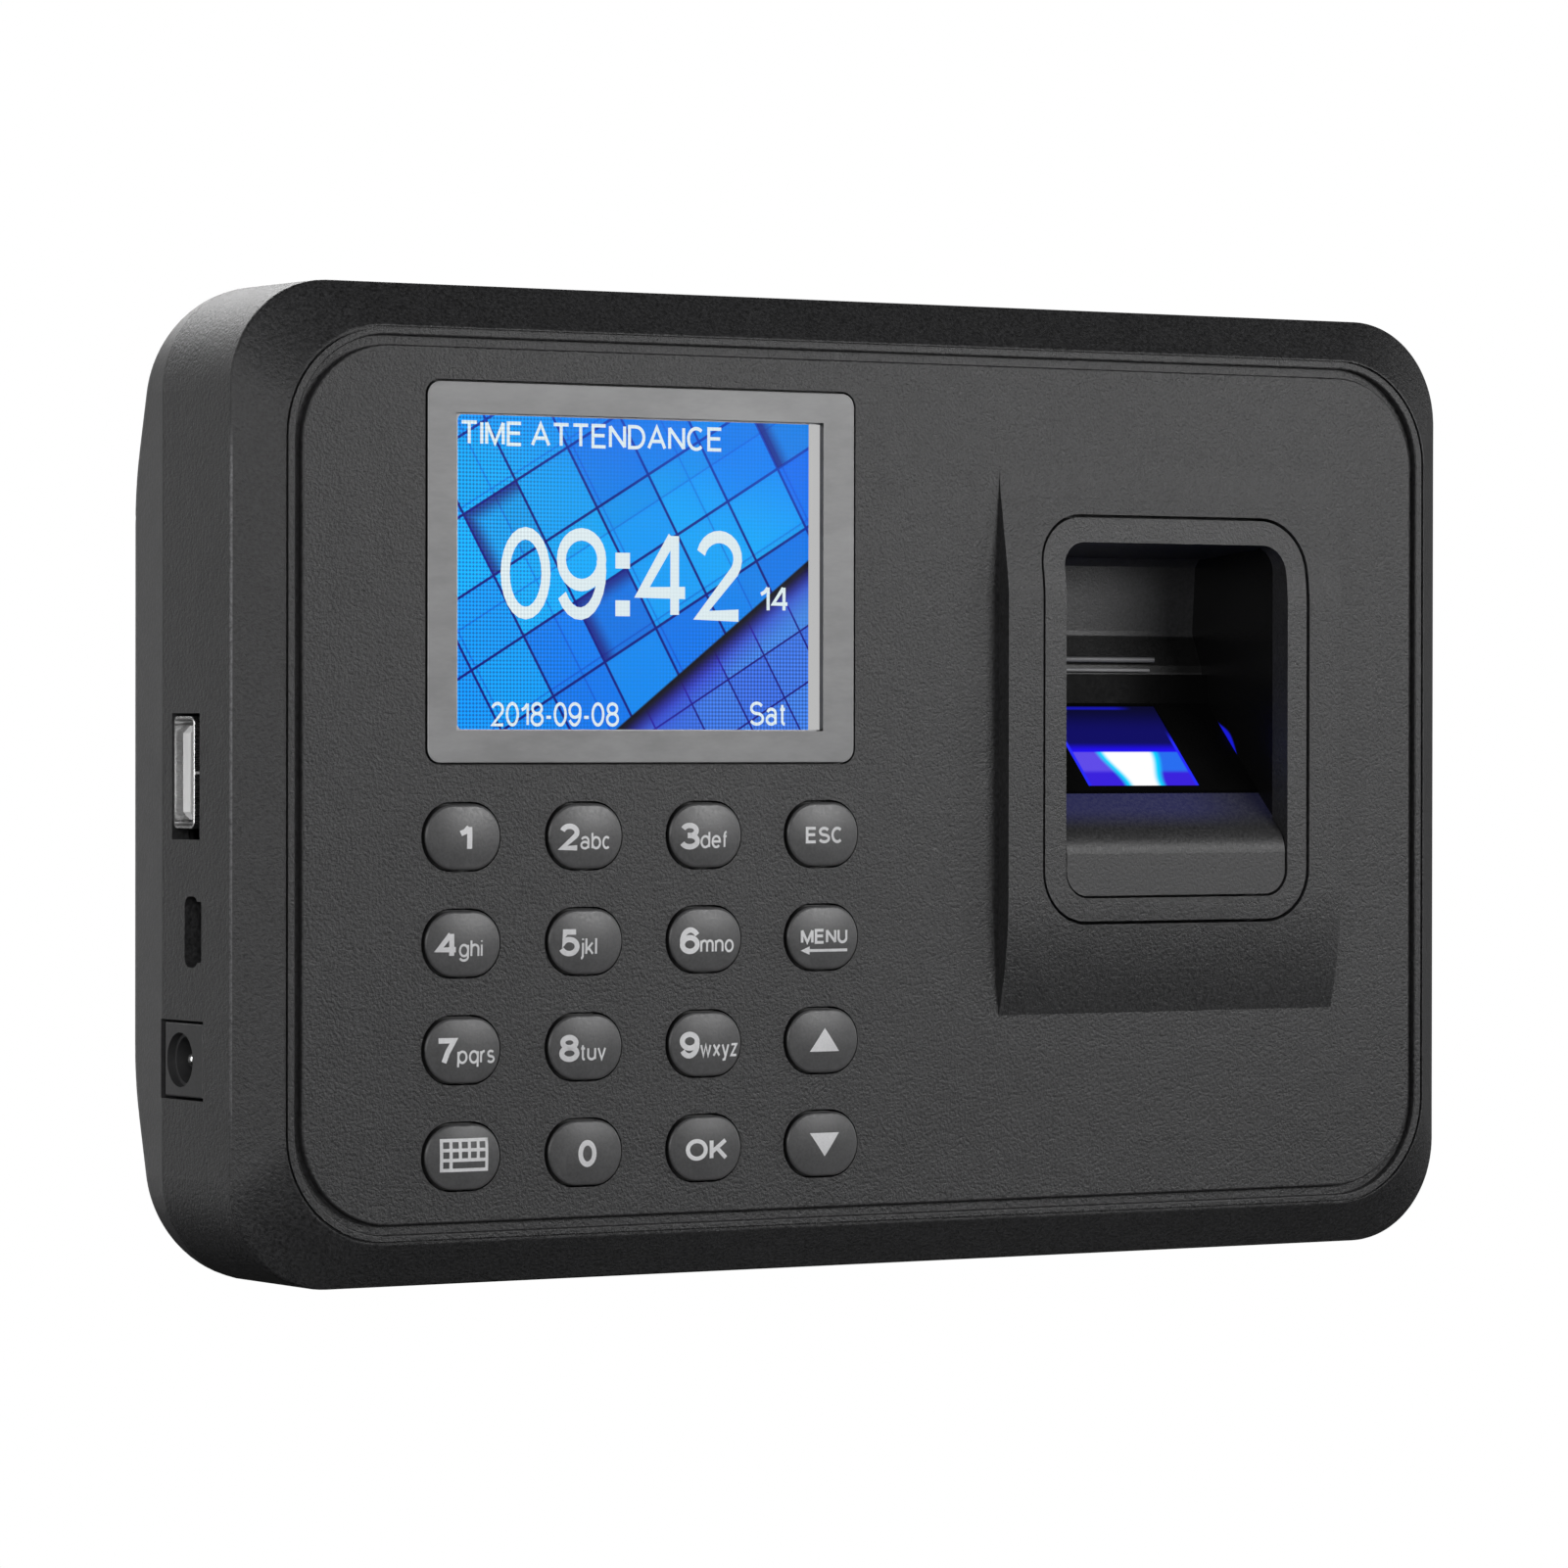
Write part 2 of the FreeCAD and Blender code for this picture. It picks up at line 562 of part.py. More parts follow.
def main_board():
    """Circuit board, notched round the two left case-screw posts."""
    centre = ((BOARD_LEFT + BOARD_RIGHT) / 2, 0)
    sheet = slab(centre, (BOARD_RIGHT - BOARD_LEFT, 2 * BOARD_HALF, 1.5), BOARD_FRONT, BOARD_BACK)
    across, down = BOARD_NOTCH
    notches = [block((BOARD_LEFT - 1, BOARD_LEFT + across), (9, 12), limits)
               for limits in ((BOARD_HALF - down, 60), (-60, -BOARD_HALF + down))]
    holes = [rod(x, z, SMALL_SCREW[0] + 0.2, 9, 12) for x, z in BOARD_SCREW_PLACES]
    return without(sheet, notches + holes)


def chip(x, z, width, height, thickness):
    """Package with a small lead gap under it, standing on the board."""
    return block((x - width / 2, x + width / 2), (BOARD_BACK, BOARD_BACK + thickness), (z - height / 2, z + height / 2))


def board_chips():
    """Processor, memories, codec, regulator, inductor and crystal."""
    packages = [
        (-30.0, -22.0, 14.0, 14.0, 1.4),
        (-8.0, -22.0, 10.2, 22.2, 1.2),
        (-30.0, -42.0, 18.4, 12.0, 1.2),
        (-52.0, -24.0, 5.2, 6.2, 1.5),
        (-60.0, -40.0, 6.5, 7.0, 2.2),
        (-52.0, -10.0, 7.0, 7.0, 4.5),
        (-6.0, 34.0, 9.9, 6.0, 1.7),
        (-46.0, -34.0, 11.0, 4.6, 3.6),
    ]
    return Part.makeCompound([chip(*package) for package in packages])


def board_capacitors():
    """Round electrolytic capacitors."""
    places = [(-62.0, -22.0), (-62.0, -31.0), (-64.0, 18.0), (-56.0, 18.0), (6.0, 46.0)]
    cans = []
    for x, z in places:
        can = rod(x, z, 3.15, BOARD_BACK, BOARD_BACK + 6.5)
        top = [e for e in can.Edges if len(e.Vertexes) == 1 and e.BoundBox.YMin > PANEL_Y + BOARD_BACK + 6]
        cans.append(can.makeFillet(0.5, top))
    return Part.makeCompound(cans)


def header(x, z, width, height):
    """Open-topped plug header."""
    depth = 5.0
    body = chip(x, z, width, height, depth)
    pocket = block((x - width / 2 + 0.8, x + width / 2 - 0.8), (BOARD_BACK + 1.2, BOARD_BACK + depth + 1),
                   (z - height / 2 + 0.8, z + height / 2 - 0.8))
    return body.cut(pocket)


def board_connectors():
    """Headers for the sensor and speaker cables, and the flat-cable socket on the front side."""
    ribbon_depth = TRAY_BACK + 0.15 + 3.2
    slot_back = ribbon_depth + 0.1
    socket = block((-24.0, -17.5), (ribbon_depth - 0.5, BOARD_FRONT), (12.5, 37.5))
    slot = block((-19.5, -17.0), (ribbon_depth - 0.1, slot_back), (13.5, 36.5))
    headers = [header(10.0, 4.0, 6.0, 12.0), header(8.0, -36.0, 6.0, 7.5), header(-14.0, 46.0, 14.0, 6.0)]
    return Part.makeCompound([socket.cut(slot)] + headers)


def coin_cell_holder():
    """Ring-shaped holder for the clock battery."""
    x, z = -32.0, 12.0
    ring = rod(x, z, 12.0, BOARD_BACK, BOARD_BACK + 4.4).cut(rod(x, z, 10.3, BOARD_BACK + 0.8, BOARD_BACK + 6))
    return without(ring, [block((x - 4, x + 4), (BOARD_BACK + 2, BOARD_BACK + 6), (z - 14, z - 8))])


def coin_cell():
    """Lithium coin cell: wide can and a narrower cap."""
    x, z = -32.0, 12.0
    can = rod(x, z, 10.0, BOARD_BACK + 1.4, BOARD_BACK + 4.2)
    cap = rod(x, z, 8.8, BOARD_BACK + 0.9, BOARD_BACK + 1.4)
    return joined([can, cap])


# ---------------------------------------------------------------- ports

def usb_a_shell():
    """Metal shell with rolled edges, a small spring nib towards the front and two legs to the board."""
    depth, z = USB_CENTRE
    half_depth, half_z = USB_SIZE[0] / 2, USB_SIZE[1] / 2
    wall = 0.32
    front_x = SIDE_X + USB_RECESS
    back_x = front_x + 14.0
    tube = block((front_x, back_x), (depth - half_depth, depth + half_depth), (z - half_z, z + half_z))
    tube = tube.makeFillet(0.75, [e for e in tube.Edges if e.BoundBox.XLength > 10])
    tube = tube.makeFillet(0.12, [e for e in tube.Edges if e.BoundBox.XMax < front_x + 0.01])
    hollow = block((front_x - 1, back_x - wall), (depth - half_depth + wall, depth + half_depth - wall),
                   (z - half_z + wall, z + half_z - wall))
    hollow = hollow.makeFillet(0.5, [e for e in hollow.Edges if e.BoundBox.XLength > 10])
    legs = [block((front_x + 4, front_x + 12), (BOARD_BACK, depth), (edge - 0.2, edge + 0.2))
            for edge in (z - half_z + 0.2, z + half_z - 0.2)]
    nib = block((front_x + 0.1, front_x + 0.5), (USB_HOLE[0][0] + 0.1, depth - half_depth + 0.1), (z - 0.16, z + 0.16))
    return without(joined([tube, nib] + legs), [hollow])


def usb_a_tongue():
    """White insulator: rear block and the tongue that carries the contacts, with sloping corners."""
    depth, z = USB_CENTRE
    front_x = SIDE_X + 0.75
    slope = 0.9
    half = 5.5
    back, front = depth + 1.3, depth - 0.54
    ends = [(front_x, z - half + slope), (front_x + slope, z - half), (SIDE_X + 12, z - half),
            (SIDE_X + 12, z + half), (front_x + slope, z + half), (front_x, z + half - slope)]
    corners = [Vector(x, PANEL_Y + front, height) for x, height in ends]
    tongue = Part.Face(Part.makePolygon(corners + corners[:1])).extrude(Vector(0, back - front, 0))
    rear = block((SIDE_X + 11, SIDE_X + 13.8), (depth - 2.0, depth + 2.0), (z - 5.9, z + 5.9))
    return joined([tongue, rear])


def usb_a_contacts():
    """Four sprung contact strips on the tongue."""
    depth, z = USB_CENTRE
    strips = []
    for offset in (-3.5, -1.0, 1.0, 3.5):
        strips.append(block((SIDE_X + 2.4, SIDE_X + 10.9), (depth - 0.74, depth - 0.54),
                            (z + offset - 0.5, z + offset + 0.5)))
    return Part.makeCompound(strips)


def mini_outline(margin):
    """Stepped (Z, depth) section of the mini-USB port: narrow towards the front."""
    depth, z = MINI_CENTRE
    wide = MINI_SIZE[1] / 2 - margin
    narrow = wide - 0.75
    front = depth - MINI_SIZE[0] / 2 + margin
    back = depth + MINI_SIZE[0] / 2 - margin
    step = front + 0.9
    return [(z - wide, back), (z + wide, back), (z + wide, step + 0.6), (z + narrow, step), (z + narrow, front),
            (z - narrow, front), (z - narrow, step), (z - wide, step + 0.6)]


def mini_usb_shell():
    """Metal shell of the mini-USB port with legs to the board."""
    front_x = SIDE_X + MINI_RECESS
    back_x = front_x + 7.8
    depth, z = MINI_CENTRE
    tube = section_prism(mini_outline(0), front_x, back_x)
    hollow = section_prism(mini_outline(0.3), front_x - 1, back_x - 0.3)
    legs = [block((back_x - 4, back_x - 1), (BOARD_BACK, depth), (edge - 0.15, edge + 0.15))
            for edge in (z - MINI_SIZE[1] / 2 + 0.15, z + MINI_SIZE[1] / 2 - 0.15)]
    return without(joined([tube] + legs), [hollow])


def mini_usb_tongue():
    """Insulator of the mini-USB port."""
    depth, z = MINI_CENTRE
    tongue = block((SIDE_X + 3.8, SIDE_X + 9), (depth - 0.5, depth + 0.5), (z - 2.6, z + 2.6))
    rear = block((SIDE_X + 8.5, SIDE_X + 9.8), (depth - 0.6, depth + 1.5), (z - 2.9, z + 2.9))
    return joined([tongue, rear])


def dc_jack_body():
    """Moulded power jack with a wider mouth ahead of the bore."""
    front_x = SIDE_X + JACK_RECESS
    body = block((front_x, front_x + 13.5), (JACK_FRONT, JACK_FRONT + JACK_SIZE[0]), jack_heights(0))
    body = body.makeFillet(0.25, [e for e in body.Edges if e.BoundBox.XMax < front_x + 0.01])
    mouth = side_rod(front_x - 1, front_x + JACK_MOUTH_LENGTH, JACK_HOLE_DEPTH, JACK_Z, JACK_MOUTH_RADIUS)
    bore = side_rod(front_x, front_x + 9.8, JACK_HOLE_DEPTH, JACK_Z, JACK_BORE_RADIUS)
    seat = side_rod(front_x + 9, front_x + 11.5, JACK_HOLE_DEPTH, JACK_Z, JACK_PIN_RADIUS)
    board_rest = block((BOARD_LEFT - 0.2, 0), (0, BOARD_BACK), jack_heights(1))
    return without(body, [mouth, bore, seat, board_rest])


def dc_jack_pin():
    """Centre pin with a round tip."""
    tip_x = SIDE_X + JACK_RECESS + JACK_MOUTH_LENGTH + 0.15
    shaft = side_rod(tip_x + JACK_PIN_RADIUS, SIDE_X + 11.55, JACK_HOLE_DEPTH, JACK_Z, JACK_PIN_RADIUS)
    tip = Part.makeSphere(JACK_PIN_RADIUS, Vector(tip_x + JACK_PIN_RADIUS, PANEL_Y + JACK_HOLE_DEPTH, JACK_Z))
    return joined([shaft, tip])


# ---------------------------------------------------------------- sensor

def sensor_bezel():
    """Ring set flush in the raised block, with a flange behind the panel."""
    ring = slab(RING_CENTRE, RING_SIZE, -4, RING_BACK).common(
        joined([hood_solid(sink=0.12), slab(RING_CENTRE, RING_SIZE, 0.5, RING_BACK)]))
    flange = slab(RING_CENTRE, grown(RING_SIZE, RING_FLANGE), PANEL_WALL + 0.1, RING_BACK)
    opening = slab(WELL_CENTRE, WELL_SIZE, -5, HOUSING_FRONT)
    socket = block((WELL_CENTRE[0] - 18.9, WELL_CENTRE[0] + 18.9), (HOUSING_FRONT, 9), (-16.3, 31.8))
    post_gaps = [rod(x, z, 2.8, 0, 9) for x, z in SENSOR_SCREW_PLACES]
    return without(joined([ring, flange]), [opening, socket] + post_gaps)


def glass_axes():
    """Unit directions in (Z, depth): along the glass, and into the module behind it."""
    rise = (GLASS_HIGH[0] - GLASS_LOW[0], GLASS_HIGH[1] - GLASS_LOW[1])
    length = math.hypot(*rise)
    along = (rise[0] / length, rise[1] / length)
    return along, (-along[1], along[0]), length


def on_glass(run, sink):
    """(Z, depth) of a point a run up the glass and a sink behind it."""
    along, inward, _ = glass_axes()
    return (GLASS_LOW[0] + run * along[0] + sink * inward[0], GLASS_LOW[1] + run * along[1] + sink * inward[1])


def finger_well():
    """Space for the finger: rounded lip, sill, tilted glass plane, ledge, back wall and ceiling."""
    left = WELL_CENTRE[0] - WELL_SIZE[0] / 2
    right = WELL_CENTRE[0] + WELL_SIZE[0] / 2
    _, _, length = glass_axes()
    top = WELL_CENTRE[1] + WELL_SIZE[1] / 2
    roll = (-7.1, LIP_FRONT)
    points = [(-9.4, -4.0), (-9.4, LIP_FRONT), roll, (-1.4, 4.2), on_glass(-1.0, FRAME_THICKNESS),
              on_glass(length + 0.5, FRAME_THICKNESS), (FRAME_TOP + 0.05, 16.4), (14.8, 16.6), (BACK_WALL_LOW, 18.4),
              (BACK_WALL_LOW + 0.6, 18.5), (27.4, 17.9), (28.4, 17.0), (top, HOUSING_FRONT), (top, -4.0)]
    space = section_prism(points, left, right)
    corner = section_point(0, roll)
    lip_edge = [e for e in space.Edges
                if e.BoundBox.XLength > 1 and abs(e.BoundBox.ZMin - corner.z) < 0.01
                and abs(e.BoundBox.YMin - corner.y) < 0.01]
    return space.makeFillet(LIP_RADIUS, lip_edge)


def optical_chamber():
    """Hollow behind the glass for the prism, lens and lamps, open to the sensor board."""
    left = WELL_CENTRE[0] - WELL_SIZE[0] / 2
    right = WELL_CENTRE[0] + WELL_SIZE[0] / 2
    _, _, length = glass_axes()
    back = HOUSING_BACK + 1
    hollow = section_prism([(-13.5, 4.0), (-9.0, 2.2), on_glass(-1.5, 2.4), on_glass(length + 1.0, 2.4),
                            (12.5, back), (-13.5, back)], left, right)
    half = GLASS_WIDTH / 2 + 0.1
    window = section_prism([on_glass(-0.1, -1), on_glass(length + 0.1, -1), on_glass(length + 0.1, 3),
                            on_glass(-0.1, 3)], HOOD_X - half, HOOD_X + half)
    return [hollow, window]


def sensor_housing():
    """Black moulding: finger well with two ribs, lower lip inside the ring, optical chamber and screw ears."""
    half_x = WELL_SIZE[0] / 2 + HOUSING_WALL
    box = slab(WELL_CENTRE, grown(WELL_SIZE, HOUSING_WALL), HOUSING_FRONT, HOUSING_BACK)
    lip = slab((WELL_CENTRE[0], -8.2), (WELL_SIZE[0] - 0.5, 11.6, 3.05), LIP_FRONT, HOUSING_FRONT + 1)
    left = WELL_CENTRE[0] - WELL_SIZE[0] / 2
    ribs = [side_rod(left - 0.5, end, depth, z, radius) for z, depth, radius, end in RIBS]
    ears = []
    for x, z in SENSOR_SCREW_PLACES:
        inner = WELL_CENTRE[0] + math.copysign(half_x - 0.5, x - WELL_CENTRE[0])
        ears.append(rod(x, z, 2.8, 7.8, 9.8))
        ears.append(block((min(x, inner), max(x, inner)), (7.8, 9.8), (z - 2.8, z + 2.8)))
    holes = [rod(x, z, SMALL_SCREW[0] + 0.2, 7, 11) for x, z in SENSOR_SCREW_PLACES]
    rib_roots = [block((left - 0.5, end), (depth, 17.4), (z - radius * 0.8, z + radius * 0.8))
                 for z, depth, radius, end in RIBS]
    hollowed = without(joined([box, lip] + ears), [finger_well()] + optical_chamber() + holes)
    return joined([hollowed] + ribs + rib_roots)


def prism_frame():
    """Glossy surround on the tilted plane and up to the ledge, with a window for the glass."""
    left = WELL_CENTRE[0] - WELL_SIZE[0] / 2 + 0.05
    right = WELL_CENTRE[0] + WELL_SIZE[0] / 2 - 0.05
    _, _, length = glass_axes()
    sink = FRAME_THICKNESS - 0.05
    plate = section_prism([on_glass(-0.95, 0), on_glass(length + 0.5, 0), (FRAME_TOP, 15.4), (FRAME_TOP, 16.3),
                           on_glass(length + 0.5, sink), on_glass(-0.95, sink)], left, right)
    half = GLASS_WIDTH / 2 + 0.1
    window = section_prism([on_glass(-0.1, -1), on_glass(length + 0.1, -1), on_glass(length + 0.1, 3),
                            on_glass(-0.1, 3)], HOOD_X - half, HOOD_X + half)
    return without(plate, [window])


def sensor_prism():
    """Glass prism: flat finger face with its apex behind."""
    _, _, length = glass_axes()
    return section_prism([on_glass(0, 0.1), on_glass(length, 0.1), on_glass(length, 2.2), on_glass(length / 2, 8.6),
                          on_glass(0, 2.2)], HOOD_X - GLASS_WIDTH / 2, HOOD_X + GLASS_WIDTH / 2)


def sensor_board():
    """Small board that closes the back of the optical chamber."""
    return slab((WELL_CENTRE[0], 0.0), (35.0, 30.0, 1.0), HOUSING_BACK, HOUSING_BACK + 1.2)


def sensor_lens():
    """Camera lens barrel on the sensor board."""
    barrel = joined([rod(HOOD_X, -8.5, 3.6, 17.2, HOUSING_BACK), rod(HOOD_X, -8.5, 2.6, 14.4, 17.2)])
    return without(barrel, [rod(HOOD_X, -8.5, 1.2, 14, 15.2)])


def sensor_leds():
    """Blue lamps on the sensor board."""
    lamps = []
    for x in (HOOD_X - 9, HOOD_X + 9):
        for z in (-5.0, 8.0):
            lamps.append(block((x - 1.6, x + 1.6), (HOUSING_BACK - 1.4, HOUSING_BACK), (z - 1.2, z + 1.2)))
    return Part.makeCompound(lamps)


def sensor_socket():
    """Cable socket on the back of the sensor board."""
    back = HOUSING_BACK + 1.2
    body = block((27.5, 32.0), (back, back + 2.2), (-1.8, 9.5))
    return body.cut(block((26.0, 30.5), (back + 0.9, back + 1.3), (-0.8, 8.5)))


def sensor_cable():
    """Flat cable from the sensor board's socket down to the main board's header."""
    start = HOUSING_BACK + 1.2 + 1.0
    thick = 0.2
    low = BOARD_BACK + 1.4
    front_side = [(30.0, start), (20.4, start), (11.4, 17.4), (11.4, low)]
    back_side = [(11.4 - thick, low), (11.4 - thick, 17.6), (20.3, start + thick), (30.0, start + thick)]
    return plan_prism(front_side + back_side, -0.4, 8.1)


# ---------------------------------------------------------------- speaker

def speaker_frame():
    """Oval basket with its rim against the rear shell."""
    centre = (SPEAKER_X, SPEAKER_Z)
    rim = slab(centre, SPEAKER_SIZE, SPEAKER_FRONT, SPEAKER_BACK)
    bowl = slab(centre, grown(SPEAKER_SIZE, -1.2), SPEAKER_FRONT + 1.0, SPEAKER_BACK + 1)
    return without(rim, [bowl])


def speaker_cone():
    """Oval diaphragm with a domed centre."""
    centre = (SPEAKER_X, SPEAKER_Z)
    sheet = slab(centre, grown(SPEAKER_SIZE, -1.3), 26.9, 27.3)
    dome = Part.makeSphere(8.0, Vector(SPEAKER_X, PANEL_Y + 20.6, SPEAKER_Z)).common(
        rod(SPEAKER_X, SPEAKER_Z, 4.0, 27.2, 30.0))
    return joined([sheet, dome])


def speaker_magnet():
    """Magnet on the front of the basket."""
    return rod(SPEAKER_X, SPEAKER_Z, 6.0, SPEAKER_FRONT - 3.0, SPEAKER_FRONT)


def routed_path(points, share=0.45):
    """Straight runs through the points, joined by tangent arcs."""
    edges = []
    last = points[0]
    for before, corner, after in zip(points, points[1:], points[2:]):
        into = (corner - before)
        out = (after - corner)
        turn = into.getAngle(out)
        tangent = share * min(into.Length, out.Length)
        start = corner - Vector(into).normalize() * tangent
        end = corner + Vector(out).normalize() * tangent
        radius = tangent / math.tan(turn / 2)
        towards = ((start + end) * 0.5 - corner).normalize()
        middle = corner + towards * (radius / math.cos(turn / 2) - radius)
        edges.append(Part.makeLine(last, start))
        edges.append(Part.Arc(start, middle, end).toShape())
        last = end
    edges.append(Part.makeLine(last, points[-1]))
    return Part.Wire(edges)


def wire_tube(points, radius):
    """Round wire along a routed path."""
    path = routed_path(points)
    section = Part.Wire(Part.makeCircle(radius, points[0], points[1] - points[0]))
    return path.makePipeShell([section], True, False)


def speaker_cable():
    """Two wires from the speaker to the board, round the bottom of the sensor module."""
    wires = []
    for offset in (-0.8, 0.8):
        route = [(70.0, 23.0, -20.0 + offset), (66.0, 21.5, -28.0 + offset), (52.0, 20.0, -34.5 + offset),
                 (34.0, 19.0, -38.0 + offset), (18.0, 18.5, -38.5 + offset), (8.6, 17.5, -36.0 + offset),
                 (8.0, 13.2, -36.0 + offset)]
        wires.append(wire_tube([Vector(x, PANEL_Y + depth, z) for x, depth, z in route], 0.6))
    return Part.makeCompound(wires)


# ---------------------------------------------------------------- fasteners and bracket

def case_screws():
    """Four screws from the rear shell into the front shell."""
    return Part.makeCompound([screw(x, z, 21.0, -1, CASE_SCREW, 12.0) for x, z in CASE_SCREW_PLACES])


def board_screws():
    """Four screws that hold the main board."""
    return Part.makeCompound([screw(x, z, BOARD_BACK, -1, SMALL_SCREW, 6.5) for x, z in BOARD_SCREW_PLACES])


def sensor_screws():
    """Four screws that hold the sensor module."""
    return Part.makeCompound([screw(x, z, 9.8, -1, SMALL_SCREW, 6.0) for x, z in SENSOR_SCREW_PLACES])


def bracket_hook(x, z, plate_front):
    """Bent tab: a neck through the rear shell and a nose behind it."""
    tip = TOTAL_DEPTH - RECESS_DEPTH - REAR_WALL - 1.8
    half = PLATE_THICKNESS / 2
    neck = block((x - half, x + half), (tip, plate_front + 0.5), (z, z + HOOK_NECK))
    nose = block((x - half, x + half), (tip, tip + 1.5), (z, z + HOOK_NECK + HOOK_NOSE))
    return joined([neck, nose])


def wall_bracket():
    """Pressed steel wall plate with screw holes, hooks and a bent flange for the lock screw."""
    front = TOTAL_DEPTH - PLATE_THICKNESS
    plate = slab((0, 0), PLATE_SIZE, front, TOTAL_DEPTH)
    hooks = [bracket_hook(x, z, front) for x, z in HOOK_PLACES]
    bottom = -PLATE_SIZE[1] / 2
    flange = block((-8.0, 8.0), (TOTAL_DEPTH - RECESS_DEPTH + 0.3, TOTAL_DEPTH), (bottom, bottom + PLATE_THICKNESS))
    windows = [block((x + 0.75, x + 5.0), (front - 1, TOTAL_DEPTH + 1), (z, z + HOOK_NECK + HOOK_NOSE))
               for x, z in HOOK_PLACES]
    holes = [rod(x, z, WALL_HOLE_RADIUS, front - 1, TOTAL_DEPTH + 1) for x, z in WALL_HOLE_PLACES]
    tapped = upright_rod(0, LOCK_SCREW_DEPTH, bottom - 1, bottom + 3, SMALL_SCREW[0] + SCREW_PLAY)
    return without(joined([plate, flange] + hooks), windows + holes + [tapped])


def bracket_lock_screw():
    """Screw from below that locks the terminal to its bracket."""
    seat = -RECESS_SIZE[1] / 2 - 4.0
    shank = upright_rod(0, LOCK_SCREW_DEPTH, seat, seat + 7.5, SMALL_SCREW[0])
    head = upright_rod(0, LOCK_SCREW_DEPTH, seat - SMALL_SCREW[2], seat, SMALL_SCREW[1])
    low = seat - SMALL_SCREW[2]
    slot = block((-1.2, 1.2), (LOCK_SCREW_DEPTH - 0.25, LOCK_SCREW_DEPTH + 0.25), (low - 1, low + 0.9))
    cross = block((-0.25, 0.25), (LOCK_SCREW_DEPTH - 1.2, LOCK_SCREW_DEPTH + 1.2), (low - 1, low + 0.9))
    return without(joined([shank, head]), [slot, cross])


PARTS = [
    front_shell, rear_shell, display_lens, lens_print, lens_tape, lcd_panel, lcd_backlight, lcd_ribbon,
    keypad_mat, key_contacts, main_board, board_chips, board_capacitors, board_connectors, coin_cell_holder,
    coin_cell, usb_a_shell, usb_a_tongue, usb_a_contacts, mini_usb_shell, mini_usb_tongue, dc_jack_body,
    dc_jack_pin, sensor_bezel, sensor_housing, prism_frame, sensor_prism, sensor_board, sensor_lens,
    sensor_leds, sensor_socket, sensor_cable, speaker_frame, speaker_cone, speaker_magnet, speaker_cable,
    case_screws, board_screws, sensor_screws, wall_bracket, bracket_lock_screw,
]

for make_part in PARTS:
    save(make_part.__name__, make_part())

for row, names in zip(KEY_ROWS, KEY_NAMES):
    for column, name in zip(KEY_COLUMNS, names):
        save(name, key(column, row))
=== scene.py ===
"""Looks of the fingerprint attendance terminal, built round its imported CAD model."""

import json
import math

import bmesh
import bpy
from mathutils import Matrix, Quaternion, Vector


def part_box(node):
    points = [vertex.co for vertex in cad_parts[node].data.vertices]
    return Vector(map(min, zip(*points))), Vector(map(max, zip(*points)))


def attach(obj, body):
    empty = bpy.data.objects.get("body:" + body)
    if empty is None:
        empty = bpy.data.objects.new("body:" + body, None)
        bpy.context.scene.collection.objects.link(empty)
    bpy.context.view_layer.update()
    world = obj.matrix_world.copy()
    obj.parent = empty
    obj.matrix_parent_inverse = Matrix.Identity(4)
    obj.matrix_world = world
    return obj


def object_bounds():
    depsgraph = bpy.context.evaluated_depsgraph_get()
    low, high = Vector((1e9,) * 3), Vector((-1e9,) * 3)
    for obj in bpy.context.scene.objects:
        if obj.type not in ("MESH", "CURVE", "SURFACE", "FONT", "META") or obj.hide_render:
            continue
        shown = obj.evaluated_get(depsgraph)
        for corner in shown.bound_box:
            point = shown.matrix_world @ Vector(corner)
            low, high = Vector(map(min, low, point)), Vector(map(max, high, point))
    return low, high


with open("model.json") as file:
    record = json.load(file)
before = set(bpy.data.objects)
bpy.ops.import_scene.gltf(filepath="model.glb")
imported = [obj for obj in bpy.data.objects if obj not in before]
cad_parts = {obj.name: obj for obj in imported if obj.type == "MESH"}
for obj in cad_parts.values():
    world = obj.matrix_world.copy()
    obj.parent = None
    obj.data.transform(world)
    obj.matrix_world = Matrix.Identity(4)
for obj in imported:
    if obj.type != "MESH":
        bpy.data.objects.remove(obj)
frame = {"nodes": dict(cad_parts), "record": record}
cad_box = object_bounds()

MM = 0.001

# Camera: where it stands in the row frame, its turns, its lens, and the nearest distance it shows
CAMERA_PLACE = Vector((-0.46392, -0.73375, 0.00635))
CAMERA_YAW_DEG = 32.60
CAMERA_PITCH_DEG = -0.438
CAMERA_ROLL_DEG = -0.083
CAMERA_LENS_MM = 158.84
CAMERA_SENSOR_MM = 36.0
CAMERA_NEAREST = 0.05

# Studio lights: azimuth in degrees from straight ahead of the terminal towards its right side, elevation
# in degrees, distance, width, height and radiance
LIGHTS = {
    "key_softbox": (30.5, 12.3, 0.55, 0.28, 0.135, 10.4),
    "left_box": (-62, 8, 1.0, 0.30, 0.40, 4.6),
    "left_strip": (-98, 4, 0.9, 0.16, 0.60, 5.8),
    "near_box": (-34, 10, 0.50, 0.16, 0.14, 6.2),
    "right_box": (70, 6, 1.0, 0.40, 0.40, 2.1),
    "back_box": (-166, 2, 1.0, 0.30, 0.60, 0.9),
    "rear_top_box": (180, 38, 0.9, 0.70, 0.45, 4.5),
    "low_fill": (40, -55, 1.0, 0.80, 0.50, 0.4),
}

# Surroundings: the glow of the horizon, sky and ground, the rises of a ray between which it changes, and
# the floor's drop below the terminal and its radius
HORIZON_GLOW = 0.155
SKY_GLOW = 0.03
GROUND_GLOW = 0.03
SKY_FADE = (0.12, 0.60)
GROUND_FADE = (-0.45, -0.02)
FLOOR_DROP = 0.24
FLOOR_RADIUS = 1.1

